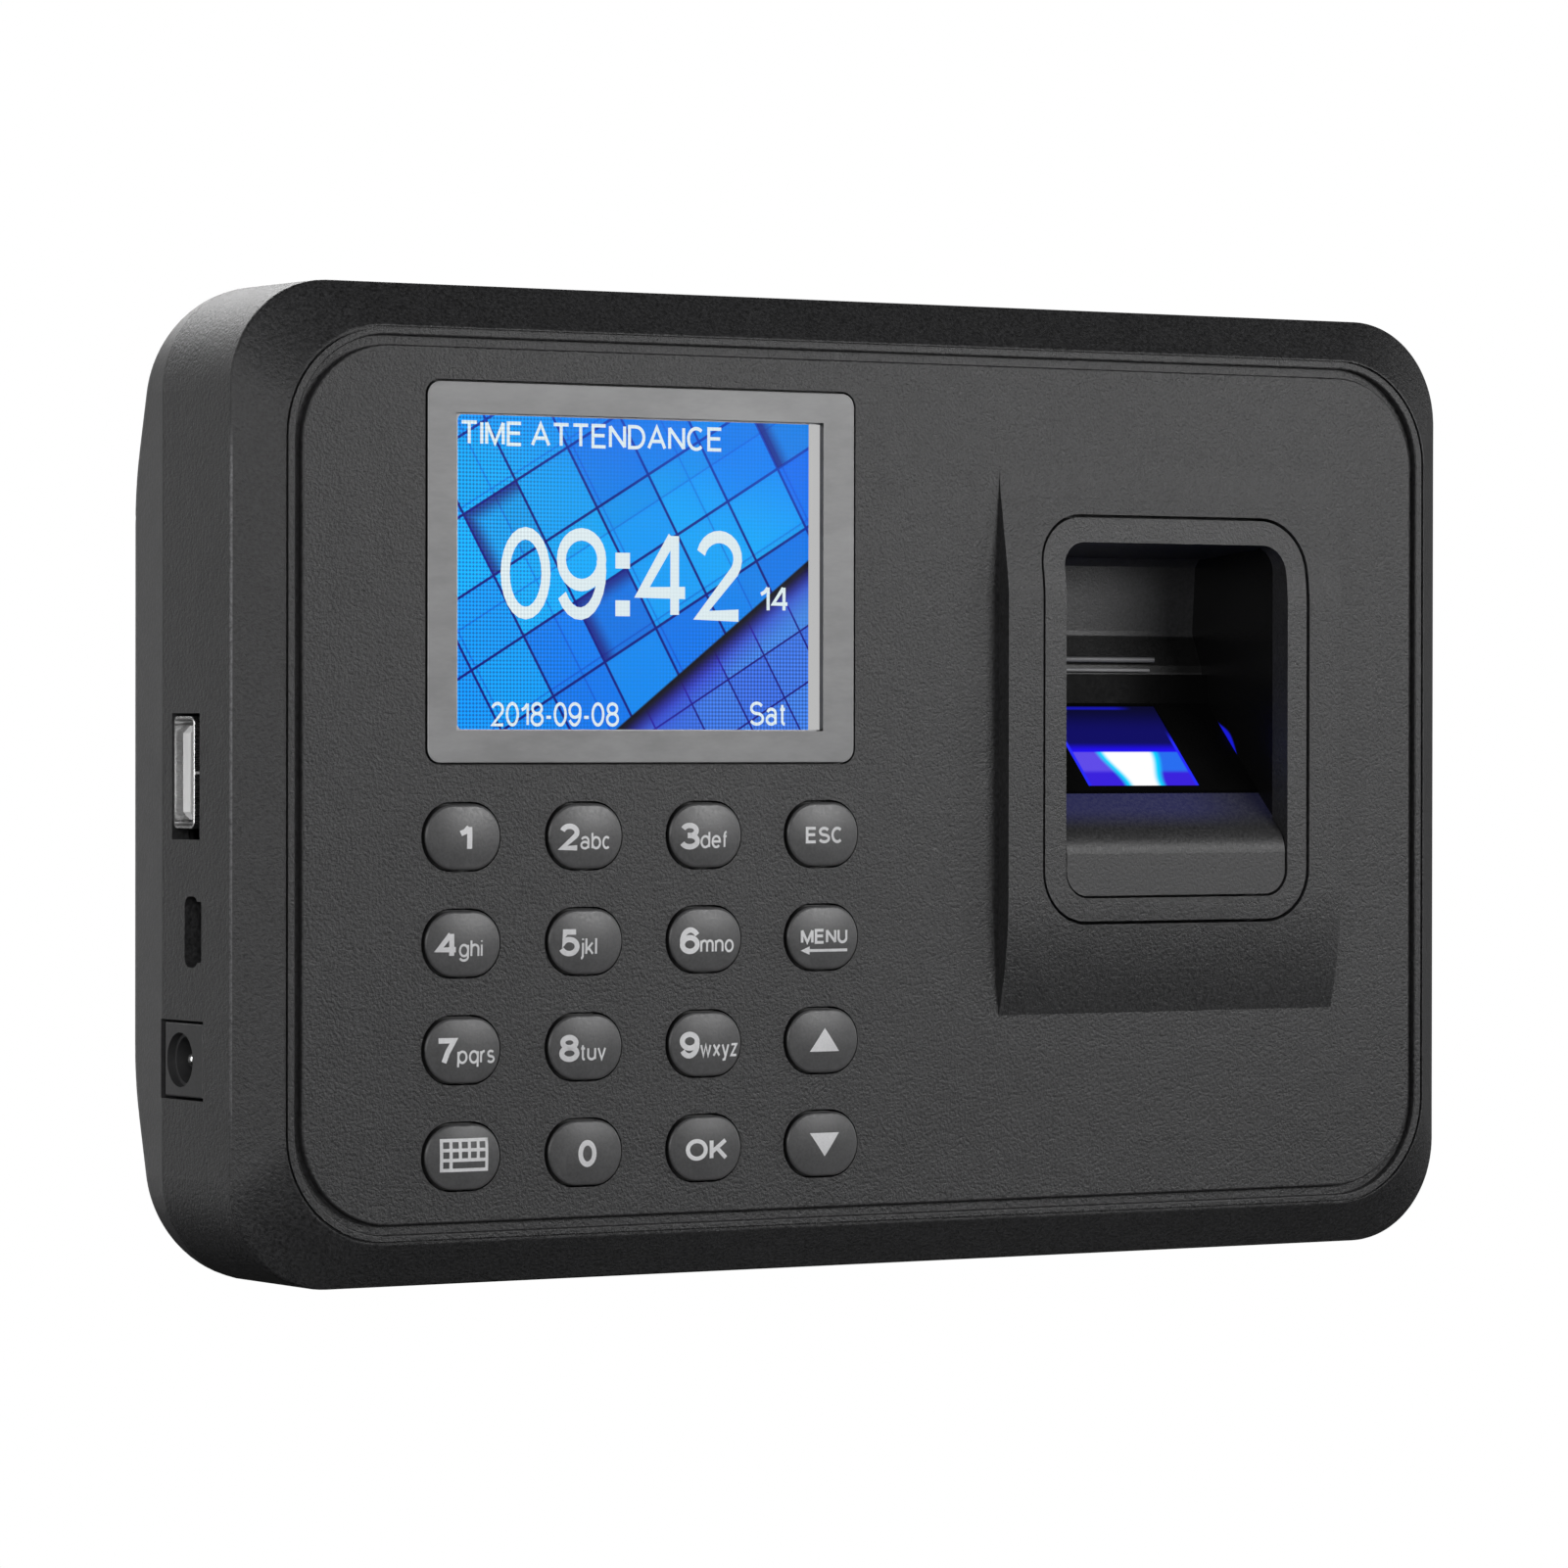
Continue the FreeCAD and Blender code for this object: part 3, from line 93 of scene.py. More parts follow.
# Display: right end and bottom of its picture, pixel rows, and the stretches where those show most
LIT_RIGHT = -9.87 * MM
LIT_BOTTOM = 6.6 * MM
PIXEL_PITCH = 0.46 * MM
RIPPLE_LEFT = (-58 * MM, -34 * MM)
RIPPLE_RIGHT = (-36 * MM, -18 * MM)
RIPPLE_LOW = (12 * MM, 24 * MM)

# Wallpaper: square tiles turned on the screen, the sunken ones by column and row, and the dark gap
TILE_SIDE = 8.2 * MM
TILE_TURN_DEG = 30.0
TILE_SHIFT = (1.6 * MM, 0.9 * MM, 0)
FINE_TILE_SHIFT = (5.0 * MM, 4.2 * MM, 0)
LOWER_TILE_SHIFT = (0.4 * MM, 2.1 * MM, 0)
SUNKEN_TILES = ((-3, 4), (1, 5), (-4, 6))
GAP_LEFT = -37.0 * MM
GAP_SLOPE = 0.755

# Texts on the display: left, right, baseline and capital height in mm, and stroke weight in heights
SCREEN_TEXTS = {
    "screen_title": ("TIME ATTENDANCE", -58.5, -22.2, 39.9, 2.9, 0.14),
    "screen_hours": ("09", -53.0, -38.5, 19.5, 10.9, 0.135),
    "screen_colon": (":", -37.2, -35.2, 20.0, 12.2, 0.155),
    "screen_minutes": ("42", -34.1, -19.3, 19.5, 10.9, 0.135),
    "screen_seconds": ("14", -16.9, -12.7, 20.7, 3.2, 0.14),
    "screen_date": ("2018-09-08", -54.3, -36.7, 6.85, 2.9, 0.13),
    "screen_day": ("Sat", -18.3, -13.1, 7.0, 2.9, 0.13),
}

# Gap between two signs of a line, in heights
LETTER_GAP = 0.10

# Front panel: its face, how far it reaches inside the bead, and the depths where painted shade darkens its
# gaps
PANEL_FACE = -31.0 * MM
PANEL_HALF_WIDTH = 75 * MM
PANEL_HALF_HEIGHT = 48 * MM
GAP_SHADE_DEPTHS = (PANEL_FACE + 0.12 * MM, PANEL_FACE + 0.35 * MM)

# Casing: size of its grain, where its painted edge highlight starts from the middle, and the heights where
# that ends
CASE_GRAIN = 0.42 * MM
EDGE_HIGHLIGHT_FROM = 86.8 * MM
EDGE_HIGHLIGHT_FADE = (36 * MM, 43 * MM)

# Window: its centre and the half sizes of its clear part
WINDOW_CENTRE = (-34.55 * MM, 24.98 * MM)
WINDOW_HALF = (25.55 * MM, 18.62 * MM)

# Finger glass: its foot and rise, and the share of the rise where its painted glow band ends
GLASS_FOOT = -0.35 * MM
GLASS_RISE = 9.95 * MM
BAND_TOP = 0.42

# Finger well: depths of its deep part, heights of its shelf, which gets painted shade, and the ribs' front,
# face and right end, where painted highlights go
DEEP_PART = (-22.0 * MM, -18.0 * MM)
SHELF_FOOT = (13.8 * MM, 14.0 * MM)
SHELF_TOP = (18.4 * MM, 18.6 * MM)
RIB_DEPTHS = (-15.3 * MM, -14.8 * MM)
RIB_END = 51.85 * MM

# Blue light painted in the well: heights and reach of the painted glow on its sill, and the painted
# reflection streak on its side walls, with both ends as depth and height
SILL_GLOW_FOOT = (-6.0 * MM, -3.0 * MM)
SILL_GLOW_TOP = (-0.4 * MM, 1.0 * MM)
SILL_GLOW_REACH = (45 * MM, 58 * MM)
STREAK_ENDS = ((-24.2 * MM, -0.2 * MM), (-17.0 * MM, 8.6 * MM))
STREAK_WIDTH = 1.5 * MM

# Keypad legends: the large sign and the small letters after it, and whole words as text, stroke weight,
# half width, baseline and capital height. All sizes in mm, and weights in heights.
KEY_SIGNS = {
    "key_1": ("1", ""), "key_2": ("2", "abc"), "key_3": ("3", "def"),
    "key_4": ("4", "ghi"), "key_5": ("5", "jkl"), "key_6": ("6", "mno"),
    "key_7": ("7", "pqrs"), "key_8": ("8", "tuv"), "key_9": ("9", "wxyz"),
    "key_0": ("0", ""),
}
KEY_WORDS = {
    "key_ok": ("OK", 0.19, 2.95, -1.45, 2.6),
    "key_esc": ("ESC", 0.18, 2.7, -1.1, 2.0),
    "key_menu": ("MENU", 0.19, 3.35, -0.75, 1.8),
}
SIGN_HEIGHT = 3.2
SIGN_WEIGHT = 0.20
SIGN_LEFT = -3.75
SIGN_FOOT = -1.7
LONE_HALF_WIDTHS = {"0": 1.25, "1": 0.95}
LETTER_HEIGHT = 2.1
LETTER_WEIGHT = 0.135
LETTER_STRETCH = 0.93
LETTER_SPACE = 0.1
LETTER_RISE = 0.12
TRIANGLE_HALF = 2.1
TRIANGLE_HEIGHT = 2.85
TRIANGLE_REACH = {"key_up": 1.3, "key_down": 1.35}

# Ink on the key domes: their radius, the ink's thickness and lift, and the strips that let it bend in mm
KEY_DOME_RADIUS = 26.0 * MM
INK_THICKNESS = 0.03 * MM
INK_LIFT = 0.01 * MM
LEGEND_STRIP = 0.7


# ---------------------------------------------------------------- node graphs

def linear(red, green, blue):
    """Scene-linear colour from 0-255 display values."""
    def one(value):
        value = value / 255
        return value / 12.92 if value <= 0.04045 else ((value + 0.055) / 1.055) ** 2.4
    return (one(red), one(green), one(blue), 1.0)


def grey(value):
    """Grey with one linear value."""
    return (value, value, value, 1.0)


class Graph:
    """A node tree, with one short call for each kind of node."""

    def __init__(self, tree):
        self.tree = tree
        self.place = self.add("ShaderNodeTexCoord").outputs["Object"]

    def add(self, kind, inputs=None, **settings):
        node = self.tree.nodes.new(kind)
        for name, value in settings.items():
            setattr(node, name, value)
        for name, value in (inputs or {}).items():
            self.feed(node.inputs[name], value)
        return node

    def feed(self, socket, value):
        if isinstance(value, bpy.types.NodeSocket):
            self.tree.links.new(value, socket)
        else:
            socket.default_value = value

    def math(self, operation, a, b=0.0):
        return self.add("ShaderNodeMath", {0: a, 1: b}, operation=operation).outputs[0]

    def product(self, *factors):
        """All factors multiplied."""
        result = factors[0]
        for factor in factors[1:]:
            result = self.math("MULTIPLY", result, factor)
        return result

    def distance(self, value, centre=0.0):
        """How far a value is from a centre, either way."""
        return self.math("ABSOLUTE", self.math("SUBTRACT", value, centre))

    def vector(self, operation, a, b=(0.0, 0.0, 0.0), output=0):
        return self.add("ShaderNodeVectorMath", {0: a, 1: b}, operation=operation).outputs[output]

    def noise(self, size, detail=2.0, roughness=0.5, stretch=(1.0, 1.0, 1.0)):
        place = self.vector("MULTIPLY", self.place, stretch)
        inputs = {"Vector": place, "Scale": 1 / size, "Detail": detail, "Roughness": roughness}
        return self.add("ShaderNodeTexNoise", inputs).outputs["Fac"]

    def remap(self, value, low, high, to_low=0.0, to_high=1.0, smooth=True):
        kind = "SMOOTHSTEP" if smooth else "LINEAR"
        inputs = {"Value": value, 1: low, 2: high, 3: to_low, 4: to_high}
        return self.add("ShaderNodeMapRange", inputs, interpolation_type=kind, clamp=True).outputs[0]

    def mix(self, factor, a, b, blend="MIX"):
        node = self.add("ShaderNodeMix", data_type="RGBA", blend_type=blend, clamp_factor=True)
        self.feed(node.inputs[0], factor)
        self.feed(node.inputs[6], a)
        self.feed(node.inputs[7], b)
        return node.outputs[2]

    def split(self, vector):
        return self.add("ShaderNodeSeparateXYZ", {0: vector}).outputs

    def facing(self, axis):
        """How squarely the surface faces along an axis (0 for X, 1 for Y, 2 for Z), either way."""
        normal = self.add("ShaderNodeNewGeometry").outputs["True Normal"]
        return self.math("ABSOLUTE", self.split(normal)[axis])

    def tinted(self, colour, amount):
        """Colour times an amount that varies over the surface."""
        return self.mix(1.0, colour, amount, blend="MULTIPLY")


class Finish(Graph):
    """A material with a Principled shader."""

    def __init__(self, name, **constants):
        self.material = bpy.data.materials.new(name)
        self.material.use_nodes = True
        super().__init__(self.material.node_tree)
        self.shader = self.tree.nodes["Principled BSDF"]
        self.output = self.tree.nodes["Material Output"]
        for key, value in constants.items():
            self.set(key.replace("_", " "), value)

    def set(self, name, value):
        self.feed(self.shader.inputs[name], value)

    def bump(self, height, distance):
        inputs = {"Height": height, "Distance": distance, "Strength": 1.0}
        self.set("Normal", self.add("ShaderNodeBump", inputs).outputs["Normal"])


# ---------------------------------------------------------------- materials

def textured_plastic(name, colour, roughness, relief, contrast, painted_light=False):
    """Spark-eroded moulding: grain in relief, colour and gloss, and mottling. Where asked, it gets a painted
    highlight on the small round of its outer edge and painted shade in its gaps."""
    finish = Finish(name)
    fine = finish.noise(CASE_GRAIN, detail=3.0, roughness=0.65)
    broad = finish.noise(CASE_GRAIN * 9, detail=2.0)
    cloud = finish.noise(35 * MM, detail=1.0)
    speckle = finish.remap(fine, 0.3, 0.7, 1 - contrast, 1 + contrast, smooth=False)
    patches = finish.remap(broad, 0.3, 0.7, 0.93, 1.07, smooth=False)
    clouds = finish.remap(cloud, 0.3, 0.7, 0.93, 1.07, smooth=False)
    tone = finish.product(speckle, patches, clouds)
    if painted_light:
        # Painted highlight on the small round of the outer edge.
        edge_highlight = finish.math("ADD", 1.0, painted_edge_highlight(finish))
        # Painted shade in the gaps behind the front panel.
        gap_shade = finish.math("SUBTRACT", 1.0, painted_gap_shade(finish))
        tone = finish.product(tone, edge_highlight, gap_shade)
    finish.set("Base Color", finish.tinted(colour, tone))
    finish.set("Roughness", finish.remap(fine, 0.25, 0.75, roughness - 0.06, roughness + 0.08))
    finish.bump(finish.math("ADD", fine, finish.product(broad, 0.4)), relief)
    return finish.material


def painted_gap_shade(finish):
    """Painted shade where the casing runs down behind its front panel, in the gaps round the keys, window and
    sensor.
    """
    x, y, z = finish.split(finish.place)
    deep = finish.remap(y, *GAP_SHADE_DEPTHS, 0.0, 0.96)
    wide = finish.math("LESS_THAN", finish.distance(x), PANEL_HALF_WIDTH)
    high = finish.math("LESS_THAN", finish.distance(z), PANEL_HALF_HEIGHT)
    return finish.product(deep, wide, high)


def painted_edge_highlight(finish):
    """Painted highlight on the small round between the sloping rim and the side wall, stronger towards the
    top.
    """
    x, _, z = finish.split(finish.place)
    across = finish.facing(0)
    past_rim = finish.remap(across, 0.70, 0.78)
    before_wall = finish.remap(across, 0.975, 0.997, 1.0, 0.0)
    outside = finish.remap(finish.distance(x), EDGE_HIGHLIGHT_FROM, EDGE_HIGHLIGHT_FROM + 0.1 * MM)
    straight = finish.remap(finish.distance(z), *EDGE_HIGHLIGHT_FADE, 1.0, 0.0)
    upward = finish.remap(z, -50 * MM, 30 * MM, 1.6, 4.2)
    return finish.product(past_rim, before_wall, outside, straight, upward)


def smooth_plastic(name, colour, roughness, coat=0.0, specular=0.5):
    """Plain moulding: slight flow marks in colour and gloss, and a faint uneven surface."""
    finish = Finish(name, Coat_Weight=coat, Coat_Roughness=0.12, Specular_IOR_Level=specular)
    flow = finish.noise(6 * MM, detail=3.0, stretch=(1.0, 1.0, 0.35))
    dust = finish.noise(0.5 * MM, detail=2.0)
    tone = finish.remap(flow, 0.3, 0.7, 0.88, 1.12)
    finish.set("Base Color", finish.tinted(colour, tone))
    finish.set("Roughness", finish.remap(dust, 0.3, 0.7, roughness - 0.05, roughness + 0.06))
    finish.bump(flow, 0.004 * MM)
    return finish.material


def metal(name, colour, roughness, brush=(1.0, 1.0, 12.0), spots=0.1):
    """Plated or brushed metal: fine lines across the stretch direction and soft tarnish."""
    finish = Finish(name, Metallic=1.0)
    lines = finish.noise(0.8 * MM, detail=4.0, roughness=0.7, stretch=brush)
    tarnish = finish.noise(5 * MM, detail=2.0)
    tone = finish.remap(tarnish, 0.3, 0.7, 1 - spots, 1 + spots)
    finish.set("Base Color", finish.tinted(colour, tone))
    finish.set("Roughness", finish.remap(lines, 0.3, 0.7, roughness * 0.75, roughness * 1.3))
    finish.bump(lines, 0.004 * MM)
    return finish.material


def silicone(name, colour, roughness):
    """Coated rubber: velvety sheen, pinpoint grain, slow colour drift, and painted shade on its sides down in
    their holes.
    """
    finish = Finish(name, Sheen_Weight=0.12, Sheen_Roughness=0.4, Specular_IOR_Level=0.5)
    grain = finish.noise(0.35 * MM, detail=2.0)
    drift = finish.noise(3.5 * MM, detail=1.0)
    speckle = finish.remap(grain, 0.3, 0.7, 0.90, 1.10)
    cloud = finish.remap(drift, 0.3, 0.7, 0.93, 1.07)
    # Painted shade: surfaces that face sideways, down in the holes, are darkened.
    shaded_sides = finish.remap(finish.facing(1), 0.35, 0.75, 0.04, 1.0)
    finish.set("Base Color", finish.tinted(colour, finish.product(speckle, cloud, shaded_sides)))
    finish.set("Roughness", finish.remap(grain, 0.3, 0.7, roughness - 0.04, roughness + 0.05))
    finish.bump(grain, 0.010 * MM)
    return finish.material


def printed_ink(name, colour, roughness, metallic=0.0):
    """Screen-printed ink: tiny pigment grains and faint clouds."""
    finish = Finish(name, Metallic=metallic)
    pigment = finish.noise(0.25 * MM, detail=2.0)
    cloud = finish.noise(7 * MM, detail=3.0, stretch=(1.0, 1.0, 0.6))
    speckle = finish.remap(pigment, 0.3, 0.7, 0.95, 1.05)
    clouds = finish.remap(cloud, 0.3, 0.7, 0.90, 1.10)
    finish.set("Base Color", finish.tinted(colour, finish.product(speckle, clouds)))
    finish.set("Roughness", finish.remap(cloud, 0.3, 0.7, roughness - 0.05, roughness + 0.05))
    return finish.material


def clear_window():
    """Anti-glare window: clear middle with a faint reflection, grey border, a painted highlight on its edge
    rounds and painted shade on its sides.
    """
    finish = Finish("clear_window", Roughness=0.40)
    x, _, z = finish.split(finish.place)
    beside = finish.math("GREATER_THAN", finish.distance(x, WINDOW_CENTRE[0]), WINDOW_HALF[0])
    above = finish.math("GREATER_THAN", finish.distance(z, WINDOW_CENTRE[1]), WINDOW_HALF[1])
    border = finish.math("MAXIMUM", beside, above)
    facing = finish.facing(1)
    rim = finish.remap(facing, 0.90, 0.995, 1.0, 0.0)
    # Painted highlight on the edge rounds, and painted shade, near black, on the side walls.
    edge = finish.mix(finish.remap(facing, 0.45, 0.70), grey(0.006), linear(178, 178, 180))
    streaks = finish.noise(3.5 * MM, detail=4.0, roughness=0.7, stretch=(0.35, 1.0, 1.0))
    clouds = finish.noise(16 * MM, detail=2.0)
    tone = finish.product(finish.remap(streaks, 0.3, 0.7, 0.89, 1.11),
                          finish.remap(clouds, 0.3, 0.7, 0.92, 1.08))
    finish.set("Base Color", finish.tinted(finish.mix(rim, linear(136, 136, 137), edge), tone))
    haze = finish.remap(finish.noise(9 * MM, detail=2.0), 0.3, 0.7, 0.28, 0.36)
    gloss = finish.add("ShaderNodeBsdfGlossy", {"Color": grey(1.0), "Roughness": haze})
    clear = finish.add("ShaderNodeBsdfTransparent")
    fresnel = finish.product(finish.add("ShaderNodeFresnel", {"IOR": 1.22}).outputs[0], 0.12)
    glass = finish.add("ShaderNodeMixShader", {0: fresnel, 1: clear.outputs[0], 2: gloss.outputs[0]})
    opaque = finish.math("MAXIMUM", rim, border)
    both = finish.add("ShaderNodeMixShader", {0: opaque, 1: glass.outputs[0], 2: finish.shader.outputs[0]})
    finish.tree.links.new(both.outputs[0], finish.output.inputs["Surface"])
    return finish.material


def tile_field(finish, turned, size, line, tones, shift):
    """Colour of square tiles in two tones with joints in a third, all shifted on the screen."""
    inputs = {"Vector": finish.vector("ADD", turned, shift), "Color1": tones[0], "Color2": tones[1],
              "Mortar": tones[2], "Scale": 1.0, "Mortar Size": line / 2, "Mortar Smooth": 0.5, "Bias": 0.1,
              "Brick Width": size, "Row Height": size}
    return finish.add("ShaderNodeTexBrick", inputs, offset=0.0, squash=1.0).outputs["Color"]


def sunken_tile(finish, turned, column, row, picture):
    """Darken one tile, deepest along its upper and left joints."""
    half = TILE_SIDE / 2
    centre = ((column + 0.5) * TILE_SIDE - TILE_SHIFT[0], (row + 0.5) * TILE_SIDE - TILE_SHIFT[1], 0)
    across, along, _ = finish.split(finish.vector("SUBTRACT", turned, centre))
    from_left = finish.math("ADD", across, half)
    from_top = finish.math("SUBTRACT", half, along)
    nearest = finish.math("MINIMUM", from_left, from_top)
    inside = finish.math("MINIMUM", nearest, finish.math("SUBTRACT", half, across))
    inside = finish.math("MINIMUM", inside, finish.math("ADD", half, along))
    mask = finish.remap(inside, 0.0, 0.12 * MM)
    depth = finish.remap(nearest, 0.2 * MM, 2.4 * MM, 0.90, 0.16)
    return finish.mix(finish.product(mask, depth), picture, linear(20, 18, 125))


def pixel_lines(finish, low, high):
    """Brightness ripple of the display's pixel rows and columns, stronger at the left and lower right."""
    x, _, z = finish.split(finish.place)
    turn = 2 * math.pi / PIXEL_PITCH
    columns = finish.math("SINE", finish.product(x, turn))
    rows = finish.math("SINE", finish.product(z, turn))
    left = finish.remap(x, *RIPPLE_LEFT, 1.0, 0.15)
    corner = finish.product(finish.remap(x, *RIPPLE_RIGHT), finish.remap(z, *RIPPLE_LOW, 1.0, 0.0))
    strength = finish.remap(finish.math("MAXIMUM", left, corner), 0.0, 1.0, low, high)
    return finish.math("ADD", 1.0, finish.product(finish.math("ADD", columns, rows), strength))


def upper_tiles(finish, turned, x, z):
    """Wallpaper above the gap: bright tiles, larger faint ones over them, and some sunken ones."""
    tones = (linear(0, 108, 234), linear(0, 168, 250), linear(2, 18, 130))
    faint_tones = (grey(1.0), grey(0.80), linear(120, 130, 210))
    tiles = tile_field(finish, turned, TILE_SIDE, 0.44 * MM, tones, TILE_SHIFT)
    faint = tile_field(finish, turned, TILE_SIDE * 1.5, 0.30 * MM, faint_tones, FINE_TILE_SHIFT)
    tiles = finish.mix(0.55, tiles, finish.tinted(tiles, faint))
    height = finish.math("ADD", z, finish.product(x, 0.25))
    tiles = finish.mix(finish.remap(height, 22 * MM, 36 * MM, 0.0, 0.42), tiles, linear(4, 92, 236))
    for column, row in SUNKEN_TILES:
        tiles = sunken_tile(finish, turned, column, row, tiles)
    return tiles


def lower_tiles(finish, turned, over_gap):
    """Wallpaper below the gap: smaller violet-blue tiles that fall into shade towards it."""
    tones = (linear(52, 98, 214), linear(64, 132, 222), linear(20, 16, 130))
    tiles = tile_field(finish, turned, TILE_SIDE * 0.72, 0.32 * MM, tones, LOWER_TILE_SHIFT)
    shade = finish.remap(over_gap, -5.5 * MM, -0.5 * MM)
    tiles = finish.mix(finish.product(shade, 0.9), tiles, linear(52, 34, 190))
    return finish.mix(finish.remap(over_gap, -3.0 * MM, -0.3 * MM), tiles, linear(3, 2, 18))


def screen():
    """Lit display: turned blue tiles, a dark gap across them, pixel lines, and a grey strip at the right."""
    finish = Finish("screen", Base_Color=grey(0.003), Roughness=0.4, Specular_IOR_Level=0.04)
    x, _, z = finish.split(finish.place)
    flat = finish.add("ShaderNodeCombineXYZ", {0: x, 1: z}).outputs[0]
    turned = finish.add("ShaderNodeVectorRotate", {"Vector": flat, "Angle": math.radians(-TILE_TURN_DEG)},
                        rotation_type="Z_AXIS").outputs[0]
    gap_rise = finish.product(finish.math("SUBTRACT", x, GAP_LEFT), GAP_SLOPE)
    over_gap = finish.math("SUBTRACT", finish.math("SUBTRACT", z, gap_rise), LIT_BOTTOM)
    over_gap = finish.product(over_gap, 0.8)
    below = finish.remap(over_gap, -0.10 * MM, 0.10 * MM, 1.0, 0.0, smooth=False)
    picture = finish.mix(below, upper_tiles(finish, turned, x, z), lower_tiles(finish, turned, over_gap))
    picture = finish.tinted(picture, pixel_lines(finish, 0.03, 0.30))
    strip = finish.math("GREATER_THAN", x, LIT_RIGHT)
    finish.set("Emission Color", finish.mix(strip, picture, linear(184, 184, 184)))
    finish.set("Emission Strength", 1.0)
    return finish.material


def screen_text():
    """Lit near-white lettering with the display's pixel lines."""
    finish = Finish("screen_text", Base_Color=grey(0.05), Roughness=0.4, Specular_IOR_Level=0.04)
    finish.set("Emission Color", finish.tinted(linear(214, 228, 232), pixel_lines(finish, 0.02, 0.10)))
    finish.set("Emission Strength", 1.0)
    return finish.material


def painted_prism_band(finish, across, up):
    """Painted glow band at the foot of the finger glass: a white core, cyan round it, and blue to the sides.
    """
    sides = finish.mix(finish.remap(across, -0.3, 0.3), linear(96, 76, 232), linear(40, 110, 240))
    off_middle = finish.remap(finish.distance(up, 0.30), 0.10, 0.16)
    sides = finish.mix(off_middle, sides, linear(58, 34, 220))
    core_half = finish.remap(up, 0.0, BAND_TOP, 0.24, 0.44)
    past_core = finish.math("SUBTRACT", finish.distance(across, 0.03), core_half)
    band = finish.mix(finish.remap(past_core, 0.04, 0.17), linear(0, 214, 255), sides)
    return finish.mix(finish.remap(past_core, -0.06, 0.06), grey(1.0), band)


def prism_glass():
    """Finger glass with a painted glow for the light from below: the glowing band, deep blue above it, a
    painted line near the top and painted reflections on the side edges.
    """
    finish = Finish("prism_glass", Base_Color=linear(6, 6, 24), Roughness=0.10)
    low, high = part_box("sensor_prism")
    x, _, z = finish.split(finish.place)
    from_middle = finish.math("SUBTRACT", x, (low.x + high.x) / 2)
    across = finish.math("DIVIDE", from_middle, (high.x - low.x) / 2)
    up = finish.math("DIVIDE", finish.math("SUBTRACT", z, GLASS_FOOT), GLASS_RISE)
    above = finish.mix(finish.remap(up, BAND_TOP, 0.54), linear(34, 14, 240), linear(16, 14, 96))
    above = finish.mix(finish.remap(up, 0.66, 0.98), above, linear(10, 10, 44))
    # Painted line near the top of the glass.
    line = finish.product(finish.remap(up, 0.94, 0.965), finish.remap(up, 0.97, 1.0, 1.0, 0.0),
                          finish.remap(across, 0.2, 0.6, 0.8, 0.0))
    above = finish.mix(line, above, linear(24, 24, 190))
    over_band = finish.remap(up, BAND_TOP - 0.015, BAND_TOP + 0.005)
    glow = finish.mix(over_band, painted_prism_band(finish, across, up), above)
    # Painted reflections on the glass's side edges.
    edge = finish.product(finish.remap(finish.distance(across), 0.93, 0.96),
                          finish.remap(up, 0.5, 0.7, 1.0, 0.0))
    finish.set("Emission Color", finish.mix(edge, glow, linear(40, 44, 250)))
    finish.set("Emission Strength", 1.0)
    return finish.material


def well_colour(finish, fine, sides):
    """Colour of the finger well: grained, with painted shade on its shelf, painted highlights on the ribs on
    it, and black side walls.
    """
    x, y, z = finish.split(finish.place)
    deep = finish.remap(y, *DEEP_PART)
    shelf = finish.product(finish.remap(z, *SHELF_FOOT), finish.remap(z, *SHELF_TOP, 1.0, 0.0))
    speckle = finish.remap(fine, 0.3, 0.7, 0.62, 1.38, smooth=False)
    colour = finish.mix(deep, linear(55, 55, 56), linear(58, 58, 59))
    # Painted shade: the shelf in the deep part is near black.
    colour = finish.mix(finish.product(shelf, deep), colour, grey(0.008))
    colour = finish.mix(sides, finish.tinted(colour, speckle), grey(0.006))
    # Painted highlights: the ribs on the shelf are pale.
    short_of_end = finish.math("LESS_THAN", x, RIB_END)
    ribs = finish.product(finish.remap(y, *RIB_DEPTHS, 1.0, 0.0), short_of_end, shelf, deep)
    return finish.mix(ribs, colour, linear(150, 150, 152))


def well_plastic():
    """Finger well: grained back, sill and lip, glossy side walls, a painted blue glow from the glass on the
    sill, and painted reflection streaks on the side walls.
    """
    finish = Finish("well_plastic")
    x, y, z = finish.split(finish.place)
    sides = finish.remap(finish.facing(0), 0.5, 0.7)
    fine = finish.noise(CASE_GRAIN, detail=3.0, roughness=0.65)
    finish.set("Base Color", well_colour(finish, fine, sides))
    finish.set("Roughness", finish.mix(sides, finish.remap(fine, 0.25, 0.75, 0.38, 0.52), grey(0.22)))
    finish.bump(fine, 0.05 * MM)
    # Painted blue glow on the sill, and painted reflection streaks on the side walls.
    sill = finish.product(finish.remap(z, *SILL_GLOW_FOOT), finish.remap(z, *SILL_GLOW_TOP, 1.0, 0.0),
                          finish.remap(sides, 0.0, 1.0, 1.0, 0.0),
                          finish.remap(x, *SILL_GLOW_REACH, 1.0, 0.25))
    streak = finish.product(painted_reflection_streak(finish, y, z), sides)
    finish.set("Emission Color", finish.mix(streak, linear(20, 22, 70), linear(22, 24, 210)))
    finish.set("Emission Strength", finish.math("MAXIMUM", sill, streak))
    return finish.material


